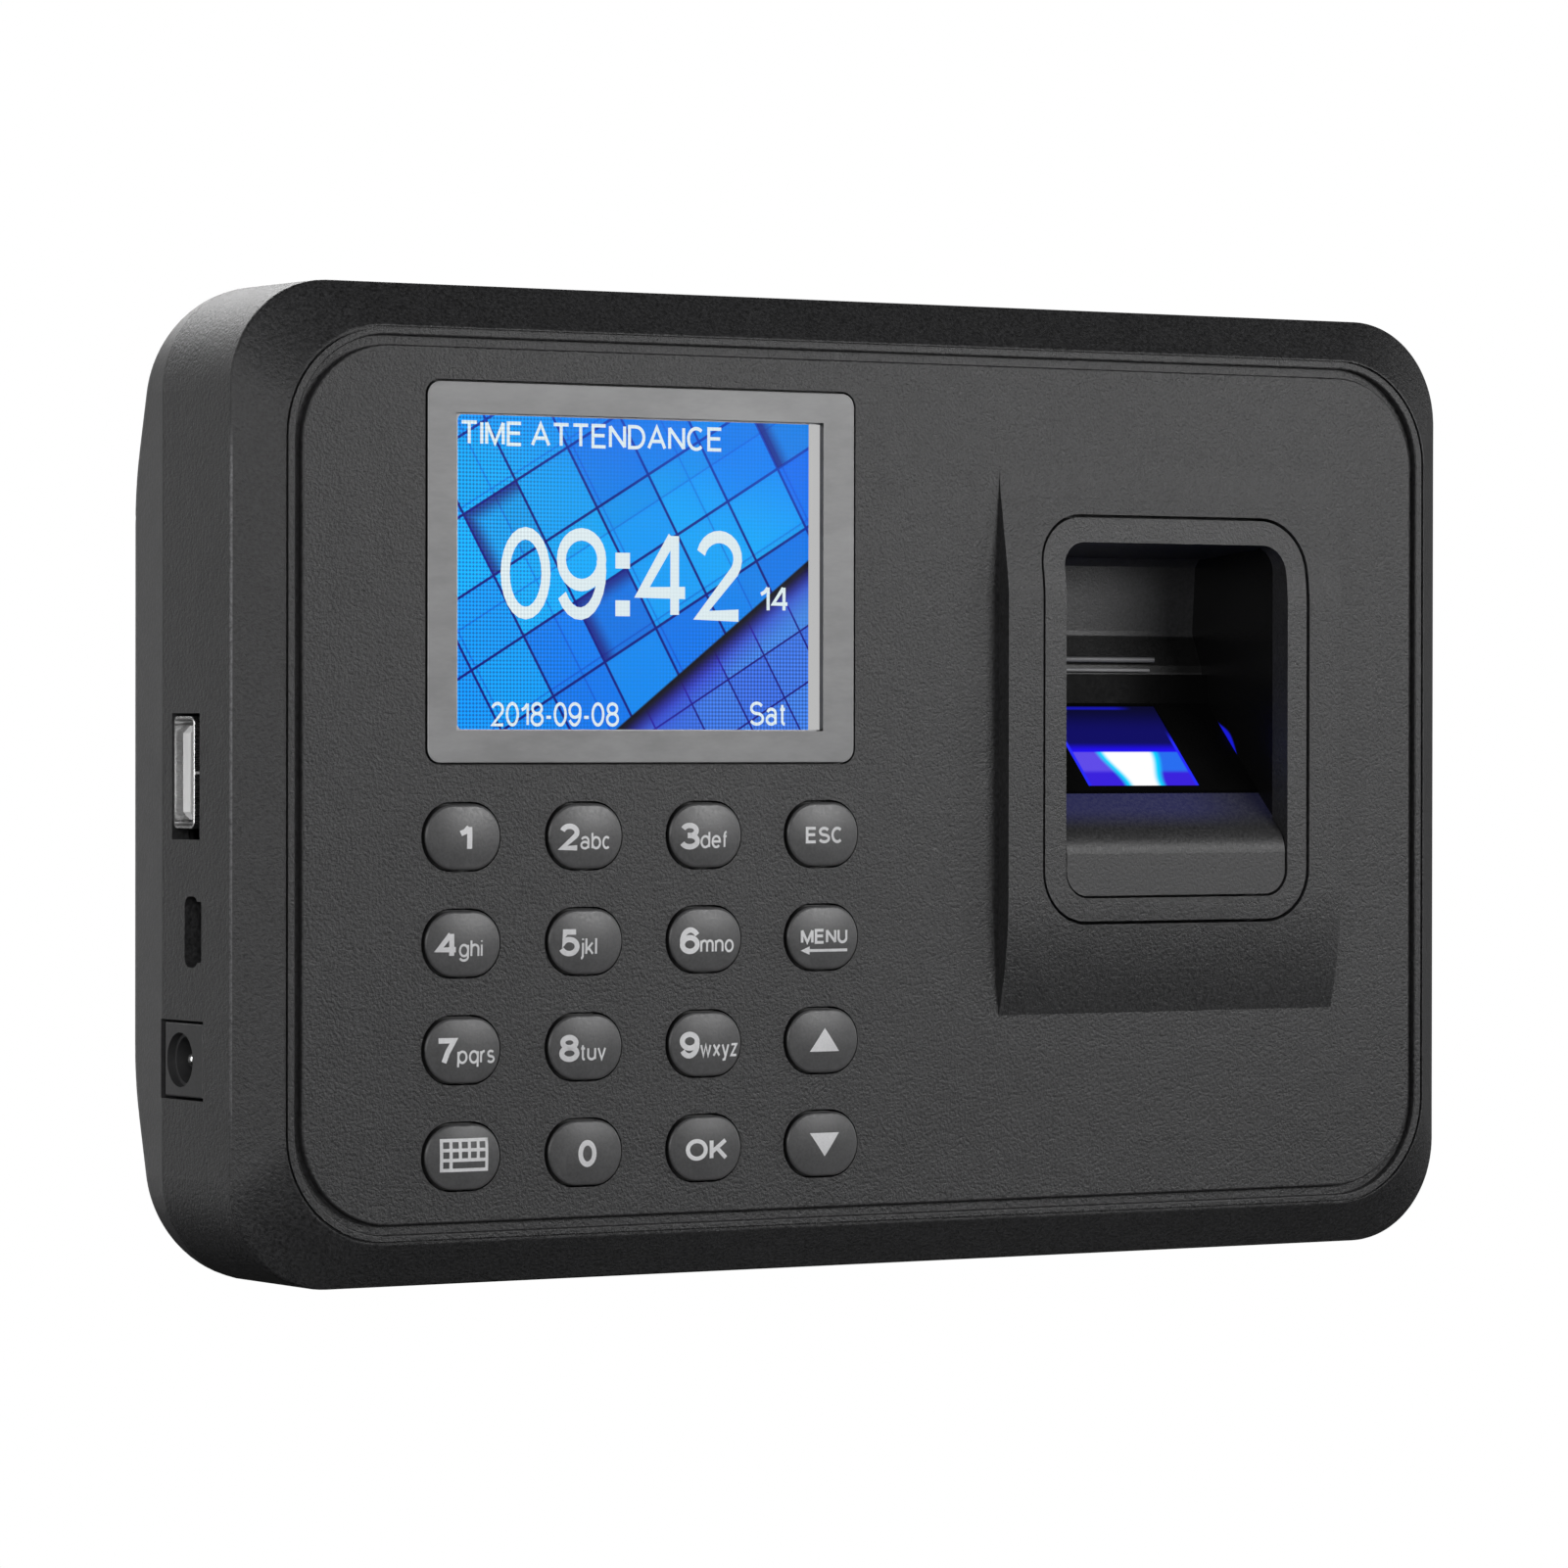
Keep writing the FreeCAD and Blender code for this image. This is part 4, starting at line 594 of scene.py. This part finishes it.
def painted_reflection_streak(finish, y, z):
    """Painted reflection of the lit glass on the well's side walls: a slanting streak that tapers at both
    ends.
    """
    (low_y, low_z), (high_y, high_z) = STREAK_ENDS
    length = math.hypot(high_y - low_y, high_z - low_z)
    run_y, run_z = (high_y - low_y) / length, (high_z - low_z) / length
    from_y, from_z = finish.math("SUBTRACT", y, low_y), finish.math("SUBTRACT", z, low_z)
    along = finish.math("ADD", finish.product(from_y, run_y), finish.product(from_z, run_z))
    aside = finish.math("SUBTRACT", finish.product(from_y, run_z), finish.product(from_z, run_y))
    along = finish.math("DIVIDE", along, length)
    taper = finish.product(finish.remap(along, 0.0, 0.6), finish.remap(along, 0.6, 1.0, 1.0, 0.0))
    width = finish.product(taper, STREAK_WIDTH)
    return finish.remap(finish.math("SUBTRACT", width, finish.distance(aside)), 0.0, 0.4 * MM)


def board_laminate():
    """Green solder mask over copper tracks."""
    finish = Finish("board_laminate", Coat_Weight=0.4, Coat_Roughness=0.15)
    flat = finish.vector("MULTIPLY", finish.place, (1, 0, 1))
    inputs = {"Vector": flat, "Color1": grey(0.0), "Color2": grey(1.0), "Mortar": grey(0.4), "Scale": 1.0,
              "Mortar Size": 0.15 * MM, "Brick Width": 5 * MM, "Row Height": 1.2 * MM}
    tracks = finish.add("ShaderNodeTexBrick", inputs).outputs["Color"]
    finish.set("Base Color", finish.mix(tracks, (0.01, 0.12, 0.04, 1), (0.02, 0.20, 0.07, 1)))
    finish.set("Roughness", finish.remap(finish.noise(1.0 * MM), 0.3, 0.7, 0.28, 0.42))
    return finish.material


def speaker_paper():
    """Pressed paper with fibres."""
    finish = Finish("speaker_paper", Sheen_Weight=0.2)
    fibres = finish.noise(0.6 * MM, detail=5.0, roughness=0.8, stretch=(1.0, 1.0, 0.3))
    finish.set("Base Color", finish.tinted(grey(0.04), finish.remap(fibres, 0.3, 0.7, 0.6, 1.5)))
    finish.set("Roughness", 0.85)
    finish.bump(fibres, 0.05 * MM)
    return finish.material


def make_materials():
    """One material for each slot of the record, and two for the lettering."""
    return {
        # The front casing gets the painted edge highlight and the painted gap shade.
        "case_plastic": textured_plastic("case_plastic", linear(47, 47, 48), 0.42, 0.135 * MM, 0.60,
                                         painted_light=True),
        "rear_plastic": textured_plastic("rear_plastic", linear(60, 60, 61), 0.44, 0.040 * MM, 0.20),
        "bezel_plastic": textured_plastic("bezel_plastic", linear(49, 49, 50), 0.42, 0.110 * MM, 0.50),
        "well_plastic": well_plastic(),
        "clear_window": clear_window(),
        "grey_print": printed_ink("grey_print", linear(164, 164, 166), 0.42, metallic=0.25),
        "legend_ink": printed_ink("legend_ink", linear(226, 226, 228), 0.5),
        "tape": smooth_plastic("tape", grey(0.5), 0.7),
        "screen": screen(),
        "screen_text": screen_text(),
        "screen_frame": smooth_plastic("screen_frame", grey(0.7), 0.4),
        "flat_cable": smooth_plastic("flat_cable", (0.55, 0.25, 0.05, 1), 0.3, coat=0.3),
        "keypad_silicone": silicone("keypad_silicone", grey(0.04), 0.6),
        "key_silicone": silicone("key_silicone", linear(80, 80, 81), 0.35),
        "carbon": smooth_plastic("carbon", grey(0.015), 0.6),
        "board_laminate": board_laminate(),
        "chip_resin": smooth_plastic("chip_resin", grey(0.025), 0.55),
        "can_aluminium": metal("can_aluminium", grey(0.75), 0.3),
        "connector_nylon": smooth_plastic("connector_nylon", (0.78, 0.74, 0.62, 1), 0.4),
        "black_moulding": smooth_plastic("black_moulding", grey(0.02), 0.45),
        "cell_steel": metal("cell_steel", grey(0.65), 0.22),
        "port_steel": metal("port_steel", grey(0.78), 0.24),
        "port_insulator": smooth_plastic("port_insulator", grey(0.95), 0.35),
        "contact_gold": metal("contact_gold", (0.9, 0.62, 0.2, 1), 0.2),
        "jack_plastic": smooth_plastic("jack_plastic", linear(58, 58, 59), 0.42),
        "gloss_black": smooth_plastic("gloss_black", grey(0.005), 0.30, specular=0.02),
        "prism_glass": prism_glass(),
        "led_blue": smooth_plastic("led_blue", (0.05, 0.12, 0.9, 1), 0.2),
        "speaker_paper": speaker_paper(),
        "magnet_iron": metal("magnet_iron", grey(0.2), 0.5),
        "wire_sleeve": smooth_plastic("wire_sleeve", (0.5, 0.02, 0.02, 1), 0.5),
        "screw_steel": metal("screw_steel", grey(0.25), 0.35),
        "bracket_steel": metal("bracket_steel", grey(0.55), 0.38, brush=(8.0, 1.0, 1.0), spots=0.2),
    }


def dress_cad_nodes(materials):
    """Give every CAD node the material of its slot in the record."""
    for part in frame["record"]["subparts"]:
        node = frame["nodes"][part["node"]]
        node.data.materials.clear()
        node.data.materials.append(materials[part["material_slot"]])


# ---------------------------------------------------------------- lettering

def arc(centre_x, centre_z, half_width, half_height, start, end):
    """Points along part of an ellipse, angles in degrees counter-clockwise from the right."""
    count = max(2, round(abs(end - start) / 15))
    angles = [math.radians(start + (end - start) * index / count) for index in range(count + 1)]
    return [(centre_x + half_width * math.cos(angle), centre_z + half_height * math.sin(angle))
            for angle in angles]


def lower_case_strokes():
    """Lower-case letters: width in capital heights, and centre lines in a box 1 wide and 1 high."""
    ring = arc(0.5, 0.36, 0.5, 0.36, 0, 360)
    return {
        "a": (0.54, [arc(0.48, 0.50, 0.44, 0.22, 160, 0) + [(0.92, 0.0)],
                     arc(0.46, 0.21, 0.46, 0.21, 0, 360)]),
        "b": (0.56, [[(0, 0), (0, 1)], ring]),
        "c": (0.50, [arc(0.5, 0.36, 0.5, 0.36, 48, 312)]),
        "d": (0.56, [[(1, 0), (1, 1)], ring]),
        "e": (0.56, [[(0.0, 0.37), (1.0, 0.37)] + arc(0.5, 0.36, 0.5, 0.36, 15, 318)]),
        "f": (0.26, [arc(1.0, 0.80, 0.6, 0.20, 90, 180) + [(0.4, 0)], [(0, 0.71), (1, 0.71)]]),
        "g": (0.56, [ring, [(1, 0.72), (1, -0.06)] + arc(0.5, -0.06, 0.5, 0.22, -10, -160)]),
        "h": (0.50, [[(0, 0), (0, 1)], arc(0.5, 0.48, 0.5, 0.24, 170, 0) + [(1, 0)]]),
        "i": (0.0, [[(0.5, 0), (0.5, 0.72)], [(0.5, 0.90), (0.5, 1.0)]]),
        "j": (0.12, [[(1, 0.72), (1, -0.14)] + arc(0, -0.14, 1, 0.14, -15, -90), [(1, 0.90), (1, 1.0)]]),
        "k": (0.46, [[(0, 0), (0, 1)], [(0.95, 0.72), (0, 0.22)], [(0.35, 0.40), (1, 0)]]),
        "l": (0.0, [[(0.5, 0), (0.5, 1)]]),
        "m": (0.82, [[(0, 0), (0, 0.72)], arc(0.25, 0.48, 0.25, 0.24, 170, 0) + [(0.5, 0)],
                     arc(0.75, 0.48, 0.25, 0.24, 170, 0) + [(1, 0)]]),
        "n": (0.50, [[(0, 0), (0, 0.72)], arc(0.5, 0.48, 0.5, 0.24, 170, 0) + [(1, 0)]]),
        "o": (0.56, [ring]),
        "p": (0.56, [[(0, 0.72), (0, -0.28)], ring]),
        "q": (0.56, [[(1, 0.72), (1, -0.28)], ring]),
        "r": (0.26, [[(0, 0), (0, 0.72)], arc(1.0, 0.40, 1.0, 0.32, 170, 90)]),
        "s": (0.46, [arc(0.5, 0.545, 0.44, 0.175, 30, 265) + arc(0.5, 0.185, 0.5, 0.185, 80, -155)]),
        "t": (0.26, [[(0.45, 0.92), (0.45, 0.14)] + arc(1.0, 0.14, 0.55, 0.14, 195, 270),
                     [(0, 0.71), (1, 0.71)]]),
        "u": (0.50, [[(0, 0.72), (0, 0.24)] + arc(0.5, 0.24, 0.5, 0.24, 190, 350), [(1, 0.72), (1, 0)]]),
        "v": (0.50, [[(0, 0.72), (0.5, 0), (1, 0.72)]]),
        "w": (0.66, [[(0, 0.72), (0.25, 0), (0.5, 0.72), (0.75, 0), (1, 0.72)]]),
        "x": (0.43, [[(0, 0.72), (1, 0)], [(0, 0), (1, 0.72)]]),
        "y": (0.45, [[(0, 0.72), (0.5, 0)], [(1, 0.72), (0.40, -0.26), (0.06, -0.28)]]),
        "z": (0.41, [[(0, 0.72), (1, 0.72), (0, 0), (1, 0)]]),
    }


def capital_strokes():
    """Capitals and signs, in the same units as the lower-case letters."""
    return {
        "A": (0.80, [[(0, 0), (0.5, 1), (1, 0)], [(0.17, 0.33), (0.83, 0.33)]]),
        "C": (0.78, [arc(0.5, 0.5, 0.5, 0.5, 48, 312)]),
        "D": (0.72, [[(0, 0), (0, 1), (0.42, 1)] + arc(0.42, 0.5, 0.58, 0.5, 75, -75) + [(0.42, 0), (0, 0)]]),
        "E": (0.62, [[(1, 1), (0, 1), (0, 0), (1, 0)], [(0, 0.53), (0.92, 0.53)]]),
        "I": (0.0, [[(0.5, 0), (0.5, 1)]]),
        "K": (0.74, [[(0, 0), (0, 1)], [(0.97, 1), (0, 0.34)], [(0.36, 0.58), (1, 0)]]),
        "M": (0.80, [[(0, 0), (0, 1)], [(0, 1), (0.5, 0.04), (1, 1)], [(1, 0), (1, 1)]]),
        "N": (0.70, [[(0, 0), (0, 1)], [(0, 0.98), (1, 0.02)], [(1, 0), (1, 1)]]),
        "O": (0.86, [arc(0.5, 0.5, 0.5, 0.5, 0, 360)]),
        "S": (0.70, [arc(0.5, 0.755, 0.45, 0.245, 25, 262) + arc(0.5, 0.255, 0.5, 0.255, 82, -158)]),
        "T": (0.72, [[(0, 1), (1, 1)], [(0.5, 0), (0.5, 1)]]),
        "U": (0.70, [[(0, 1), (0, 0.36)] + arc(0.5, 0.36, 0.5, 0.36, 190, 350) + [(1, 0.36), (1, 1)]]),
        "-": (0.26, [[(0, 0.36), (1, 0.36)]]),
        ":": (0.0, [[(0.5, 0)], [(0.5, 0.55)]]),
        " ": (0.08, []),
    }


def digit_strokes():
    """Digits, in the same units as the lower-case letters."""
    return {
        "0": (0.62, [arc(0.5, 0.5, 0.5, 0.5, 0, 360)]),
        "1": (0.34, [[(1, 0), (1, 1)], [(0, 0.70), (0.5, 0.79), (0.95, 0.98)]]),
        "2": (0.62, [arc(0.5, 0.72, 0.48, 0.28, 165, -35) + [(0.04, 0.0), (1.0, 0.0)]]),
        "3": (0.62, [arc(0.48, 0.76, 0.45, 0.24, 160, -75), arc(0.48, 0.265, 0.52, 0.265, 80, -160),
                     [(0.34, 0.53), (0.56, 0.53)]]),
        "4": (0.68, [[(0.76, 0), (0.76, 1)], [(0.70, 0.98), (0.0, 0.28), (1.0, 0.28)]]),
        "5": (0.62, [[(0.93, 1), (0.22, 1), (0.10, 0.48)] + arc(0.48, 0.325, 0.52, 0.325, 130, -160)]),
        "6": (0.62, [arc(0.5, 0.32, 0.5, 0.32, 0, 360), arc(0.54, 0.46, 0.54, 0.54, 195, 35)]),
        "7": (0.62, [[(0, 1), (1, 1), (0.58, 0.48), (0.34, 0)]]),
        "8": (0.62, [arc(0.5, 0.765, 0.43, 0.235, 0, 360), arc(0.5, 0.27, 0.5, 0.27, 0, 360)]),
        "9": (0.62, [arc(0.5, 0.68, 0.5, 0.32, 0, 360), arc(0.46, 0.54, 0.54, 0.54, 15, -145)]),
    }


def stroke_plate(points, width):
    """Thin closed plate along a centre line in the XZ plane, mitred at its corners. One point is a dot."""
    work = bmesh.new()
    if len(points) == 1:
        (x, z), half = points[0], width / 2
        points = [(x, z - half), (x, z + half)]
    closed = math.dist(points[0], points[-1]) < 1e-6
    points = [Vector(point) for point in (points[:-1] if closed else points)]
    count = len(points)
    sections = []
    for index, point in enumerate(points):
        before = points[index - 1] if closed or index else point
        after = points[(index + 1) % count] if closed or index < count - 1 else point
        into, out = point - before, after - point
        into, out = (into if into.length else out).normalized(), (out if out.length else into).normalized()
        side = Vector((-into.y - out.y, into.x + out.x)).normalized()
        reach = side * width / 2 / max(0.5, side.dot(Vector((-into.y, into.x))))
        left, right = point + reach, point - reach
        corners = ((left, -0.5), (right, -0.5), (right, 0.5), (left, 0.5))
        sections.append([work.verts.new((flat.x, depth, flat.y)) for flat, depth in corners])
    for index in range(count if closed else count - 1):
        near, far = sections[index], sections[(index + 1) % count]
        for corner in range(4):
            following = (corner + 1) % 4
            work.faces.new((near[corner], near[following], far[following], far[corner]))
    if not closed:
        work.faces.new(sections[0])
        work.faces.new(sections[-1])
    bmesh.ops.recalc_face_normals(work, faces=work.faces)
    mesh = bpy.data.meshes.new("stroke")
    work.to_mesh(mesh)
    work.free()
    return mesh


def set_line(text, weight, left, baseline, height, right=None, stretch=1.0):
    """Meshes of one line of text, and its right end: X and Z in mm, Y from -0.5 to 0.5 through the ink."""
    rise = 1 - weight
    strokes, pen = [], 0.0
    for sign in text:
        width, lines = GLYPHS[sign]
        for line in lines:
            strokes.append([(pen + weight / 2 + u * width, weight / 2 + v * rise) for u, v in line])
        pen += width + weight + LETTER_GAP
    natural = pen - LETTER_GAP
    across = height * stretch if right is None else (right - left) / natural
    meshes = [stroke_plate(stroke, weight) for stroke in strokes]
    for mesh in meshes:
        for vertex in mesh.vertices:
            x, depth, z = vertex.co
            vertex.co = (left + x * across, depth, baseline + z * height)
    return meshes, left + natural * across


def joined(meshes):
    """One bmesh from several meshes, all in the same units."""
    work = bmesh.new()
    for mesh in meshes:
        work.from_mesh(mesh)
    return work


def polygon_plate(points):
    """Thin closed plate from (X, Z) points, with the same depth range as lettering."""
    work = bmesh.new()
    face = work.faces.new([work.verts.new((x, -0.5, z)) for x, z in points])
    for item in bmesh.ops.extrude_face_region(work, geom=[face])["geom"]:
        if isinstance(item, bmesh.types.BMVert):
            item.co.y = 0.5
    bmesh.ops.recalc_face_normals(work, faces=work.faces)
    mesh = bpy.data.meshes.new("plate")
    work.to_mesh(mesh)
    work.free()
    return mesh


def bar(x_low, x_high, z_low, z_high):
    """Rectangular plate."""
    return polygon_plate([(x_low, z_low), (x_high, z_low), (x_high, z_high), (x_low, z_high)])


def keyboard_sign():
    """Outline keyboard: two rows of five keys, and a row with one key and a long bar."""
    width, height, line, lift = 6.5, 3.9, 0.40, 0.25
    left, low = -width / 2, lift - height / 2
    rows = [low + row * (height - line) / 3 for row in range(4)]
    columns = [left + column * (width - line) / 5 for column in range(6)]
    sign = [bar(left, left + width, z, z + line) for z in rows]
    sign += [bar(x, x + line, rows[0], rows[3] + line) for x in (columns[0], columns[1], columns[5])]
    sign += [bar(x, x + line, rows[1], rows[3] + line) for x in columns[2:5]]
    return sign


def menu_arrow():
    """Long arrow that points left under its word."""
    tip, tail, z = -3.35, 3.35, -1.55
    head, head_half, overlap, shaft_half = 1.2, 0.5, 0.1, 0.17
    return [polygon_plate([(tip, z), (tip + head, z - head_half), (tip + head, z + head_half)]),
            bar(tip + head - overlap, tail, z - shaft_half, z + shaft_half)]


def triangle_sign(name):
    """Triangle that points up or down, with its base at its reach from the key's centre."""
    way = 1 if name == "key_up" else -1
    base = -way * TRIANGLE_REACH[name]
    tip = (0, base + way * TRIANGLE_HEIGHT)
    left, right = (-TRIANGLE_HALF, base), (TRIANGLE_HALF, base)
    return [polygon_plate([left, right, tip] if way > 0 else [left, tip, right])]


def word_sign(name):
    """Whole word, centred on its key, with the arrow under it on the menu key."""
    word, weight, half, foot, height = KEY_WORDS[name]
    sign, _ = set_line(word, weight, -half, foot, height, right=half)
    return sign + menu_arrow() if name == "key_menu" else sign


def digit_sign(name):
    """Digit alone at the key's centre, or at its left with small letters after it."""
    large, small = KEY_SIGNS[name]
    if not small:
        half = LONE_HALF_WIDTHS[large]
        return set_line(large, SIGN_WEIGHT, -half, SIGN_FOOT, SIGN_HEIGHT, right=half)[0]
    sign, end = set_line(large, SIGN_WEIGHT, SIGN_LEFT, SIGN_FOOT, SIGN_HEIGHT)
    letters, _ = set_line(small, LETTER_WEIGHT, end + LETTER_SPACE, SIGN_FOOT + LETTER_RISE, LETTER_HEIGHT,
                          stretch=LETTER_STRETCH)
    return sign + letters


def key_sign(name):
    """Meshes of one key's legend, centred on the key, in mm."""
    if name in TRIANGLE_REACH:
        return triangle_sign(name)
    if name in KEY_WORDS:
        return word_sign(name)
    if name in KEY_SIGNS:
        return digit_sign(name)
    return keyboard_sign()


def cut_in_strips(work, step):
    """Cut a flat bmesh along a grid, so that it can follow a curved surface."""
    for axis in (0, 2):
        values = [vertex.co[axis] for vertex in work.verts]
        count = int((max(values) - min(values)) / step)
        normal = Vector((axis == 0, 0, axis == 2))
        for index in range(1, count + 1):
            point = normal * (min(values) + index * step)
            everything = list(work.verts) + list(work.edges) + list(work.faces)
            bmesh.ops.bisect_plane(work, geom=everything, plane_co=point, plane_no=normal)


def add_piece(name, work, body, material):
    """Turn a bmesh into a piece of the object."""
    mesh = bpy.data.meshes.new(name)
    bmesh.ops.recalc_face_normals(work, faces=work.faces)
    work.to_mesh(mesh)
    work.free()
    piece = bpy.data.objects.new(name, mesh)
    bpy.context.scene.collection.objects.link(piece)
    mesh.materials.append(material)
    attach(piece, body)


def add_key_legend(name, material):
    """Ink on a key's dome."""
    low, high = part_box(name)
    centre_x, centre_z = (low.x + high.x) / 2, (low.z + high.z) / 2
    work = joined(key_sign(name))
    cut_in_strips(work, LEGEND_STRIP)
    for vertex in work.verts:
        x, ink, z = vertex.co
        x, z = x * MM, z * MM
        sag = KEY_DOME_RADIUS - math.sqrt(KEY_DOME_RADIUS ** 2 - x * x - z * z)
        lift = INK_LIFT + (0.5 - ink) * INK_THICKNESS
        vertex.co = (centre_x + x, low.y + sag - lift, centre_z + z)
    add_piece("legend_" + name, work, name + "_body", material)


def add_screen_text(name, material):
    """Lit lettering just in front of the display glass."""
    text, left, right, baseline, height, weight = SCREEN_TEXTS[name]
    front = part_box("lcd_panel")[0].y
    work = joined(set_line(text, weight, left, baseline, height, right=right)[0])
    for vertex in work.verts:
        x, ink, z = vertex.co
        vertex.co = (x * MM, front - INK_LIFT - (0.5 - ink) * INK_THICKNESS, z * MM)
    add_piece(name, work, "root", material)


# ---------------------------------------------------------------- studio

def heading(azimuth, elevation):
    """Unit direction from the terminal to a light."""
    turn, rise = math.radians(azimuth), math.radians(elevation)
    return Vector((math.sin(turn) * math.cos(rise), -math.cos(turn) * math.cos(rise), math.sin(rise)))


def add_camera():
    """Camera at the photograph's viewing angle."""
    data = bpy.data.cameras.new("camera")
    data.sensor_width = CAMERA_SENSOR_MM
    data.lens = CAMERA_LENS_MM
    data.clip_start = CAMERA_NEAREST
    camera = bpy.data.objects.new("camera", data)
    bpy.context.scene.collection.objects.link(camera)
    yaw, pitch = math.radians(CAMERA_YAW_DEG), math.radians(CAMERA_PITCH_DEG)
    forward = Vector((math.sin(yaw) * math.cos(pitch), math.cos(yaw) * math.cos(pitch), math.sin(pitch)))
    camera.rotation_mode = "QUATERNION"
    camera.location = CAMERA_PLACE
    roll = Quaternion(forward, math.radians(CAMERA_ROLL_DEG))
    camera.rotation_quaternion = roll @ forward.to_track_quat("-Z", "Y")
    bpy.context.scene.camera = camera


def add_lights():
    """Soft boxes round the terminal, aimed at its centre."""
    low, high = cad_box
    centre = (low + high) / 2
    for name, (azimuth, elevation, distance, width, height, radiance) in LIGHTS.items():
        data = bpy.data.lights.new(name, "AREA")
        data.shape = "RECTANGLE"
        data.size = width
        data.size_y = height
        data.energy = radiance * math.pi * width * height
        light = bpy.data.objects.new(name, data)
        bpy.context.scene.collection.objects.link(light)
        outward = heading(azimuth, elevation)
        light.location = centre + outward * distance
        light.rotation_mode = "QUATERNION"
        light.rotation_quaternion = outward.to_track_quat("Z", "Y")
        light.visible_camera = False


def add_world():
    """White backdrop for the camera; for light, a soft glow along the horizon and dark above and below."""
    world = bpy.data.worlds.new("studio")
    world.use_nodes = True
    world.node_tree.nodes.clear()
    graph = Graph(world.node_tree)
    ray = graph.add("ShaderNodeTexCoord").outputs["Generated"]
    height = graph.split(ray)[2]
    above = graph.remap(height, *SKY_FADE, HORIZON_GLOW, SKY_GLOW)
    below = graph.remap(height, *GROUND_FADE, GROUND_GLOW, 1.0)
    glow = graph.product(above, below)
    seen = graph.add("ShaderNodeLightPath").outputs["Is Camera Ray"]
    light = graph.add("ShaderNodeBackground", {"Color": grey(1.0), "Strength": glow})
    white = graph.add("ShaderNodeBackground", {"Color": grey(1.0), "Strength": 1.0})
    both = graph.add("ShaderNodeMixShader", {0: seen, 1: light.outputs[0], 2: white.outputs[0]})
    output = graph.add("ShaderNodeOutputWorld")
    graph.tree.links.new(both.outputs[0], output.inputs["Surface"])
    bpy.context.scene.world = world


def add_floor():
    """Pale round floor well below the terminal, fading to the white of the backdrop."""
    work = bmesh.new()
    bmesh.ops.create_circle(work, cap_ends=True, segments=96, radius=FLOOR_RADIUS)
    mesh = bpy.data.meshes.new("floor")
    work.to_mesh(mesh)
    work.free()
    floor = bpy.data.objects.new("floor", mesh)
    floor.location = (0, 0, cad_box[0].z - FLOOR_DROP)
    bpy.context.scene.collection.objects.link(floor)
    finish = Finish("floor_paper", Base_Color=grey(0.85), Roughness=0.8)
    away = finish.vector("LENGTH", finish.place, output=1)
    fade = finish.remap(away, FLOOR_RADIUS * 0.3, FLOOR_RADIUS * 0.95)
    white = finish.add("ShaderNodeEmission", {"Color": grey(1.0), "Strength": 1.0})
    pale = finish.add("ShaderNodeEmission", {"Color": grey(0.86), "Strength": 1.0})
    paper = finish.add("ShaderNodeMixShader", {0: 0.5, 1: finish.shader.outputs[0], 2: pale.outputs[0]})
    both = finish.add("ShaderNodeMixShader", {0: fade, 1: paper.outputs[0], 2: white.outputs[0]})
    finish.tree.links.new(both.outputs[0], finish.output.inputs["Surface"])
    mesh.materials.append(finish.material)
    floor.visible_diffuse = False
    floor.visible_glossy = False


bpy.context.scene.view_settings.view_transform = "Standard"
add_camera()
add_lights()
add_world()
add_floor()
finishes = make_materials()
dress_cad_nodes(finishes)
GLYPHS = lower_case_strokes() | capital_strokes() | digit_strokes()
for key_name in [node for node in frame["nodes"] if node.startswith("key_") and node != "key_contacts"]:
    add_key_legend(key_name, finishes["legend_ink"])
for text_name in SCREEN_TEXTS:
    add_screen_text(text_name, finishes["screen_text"])
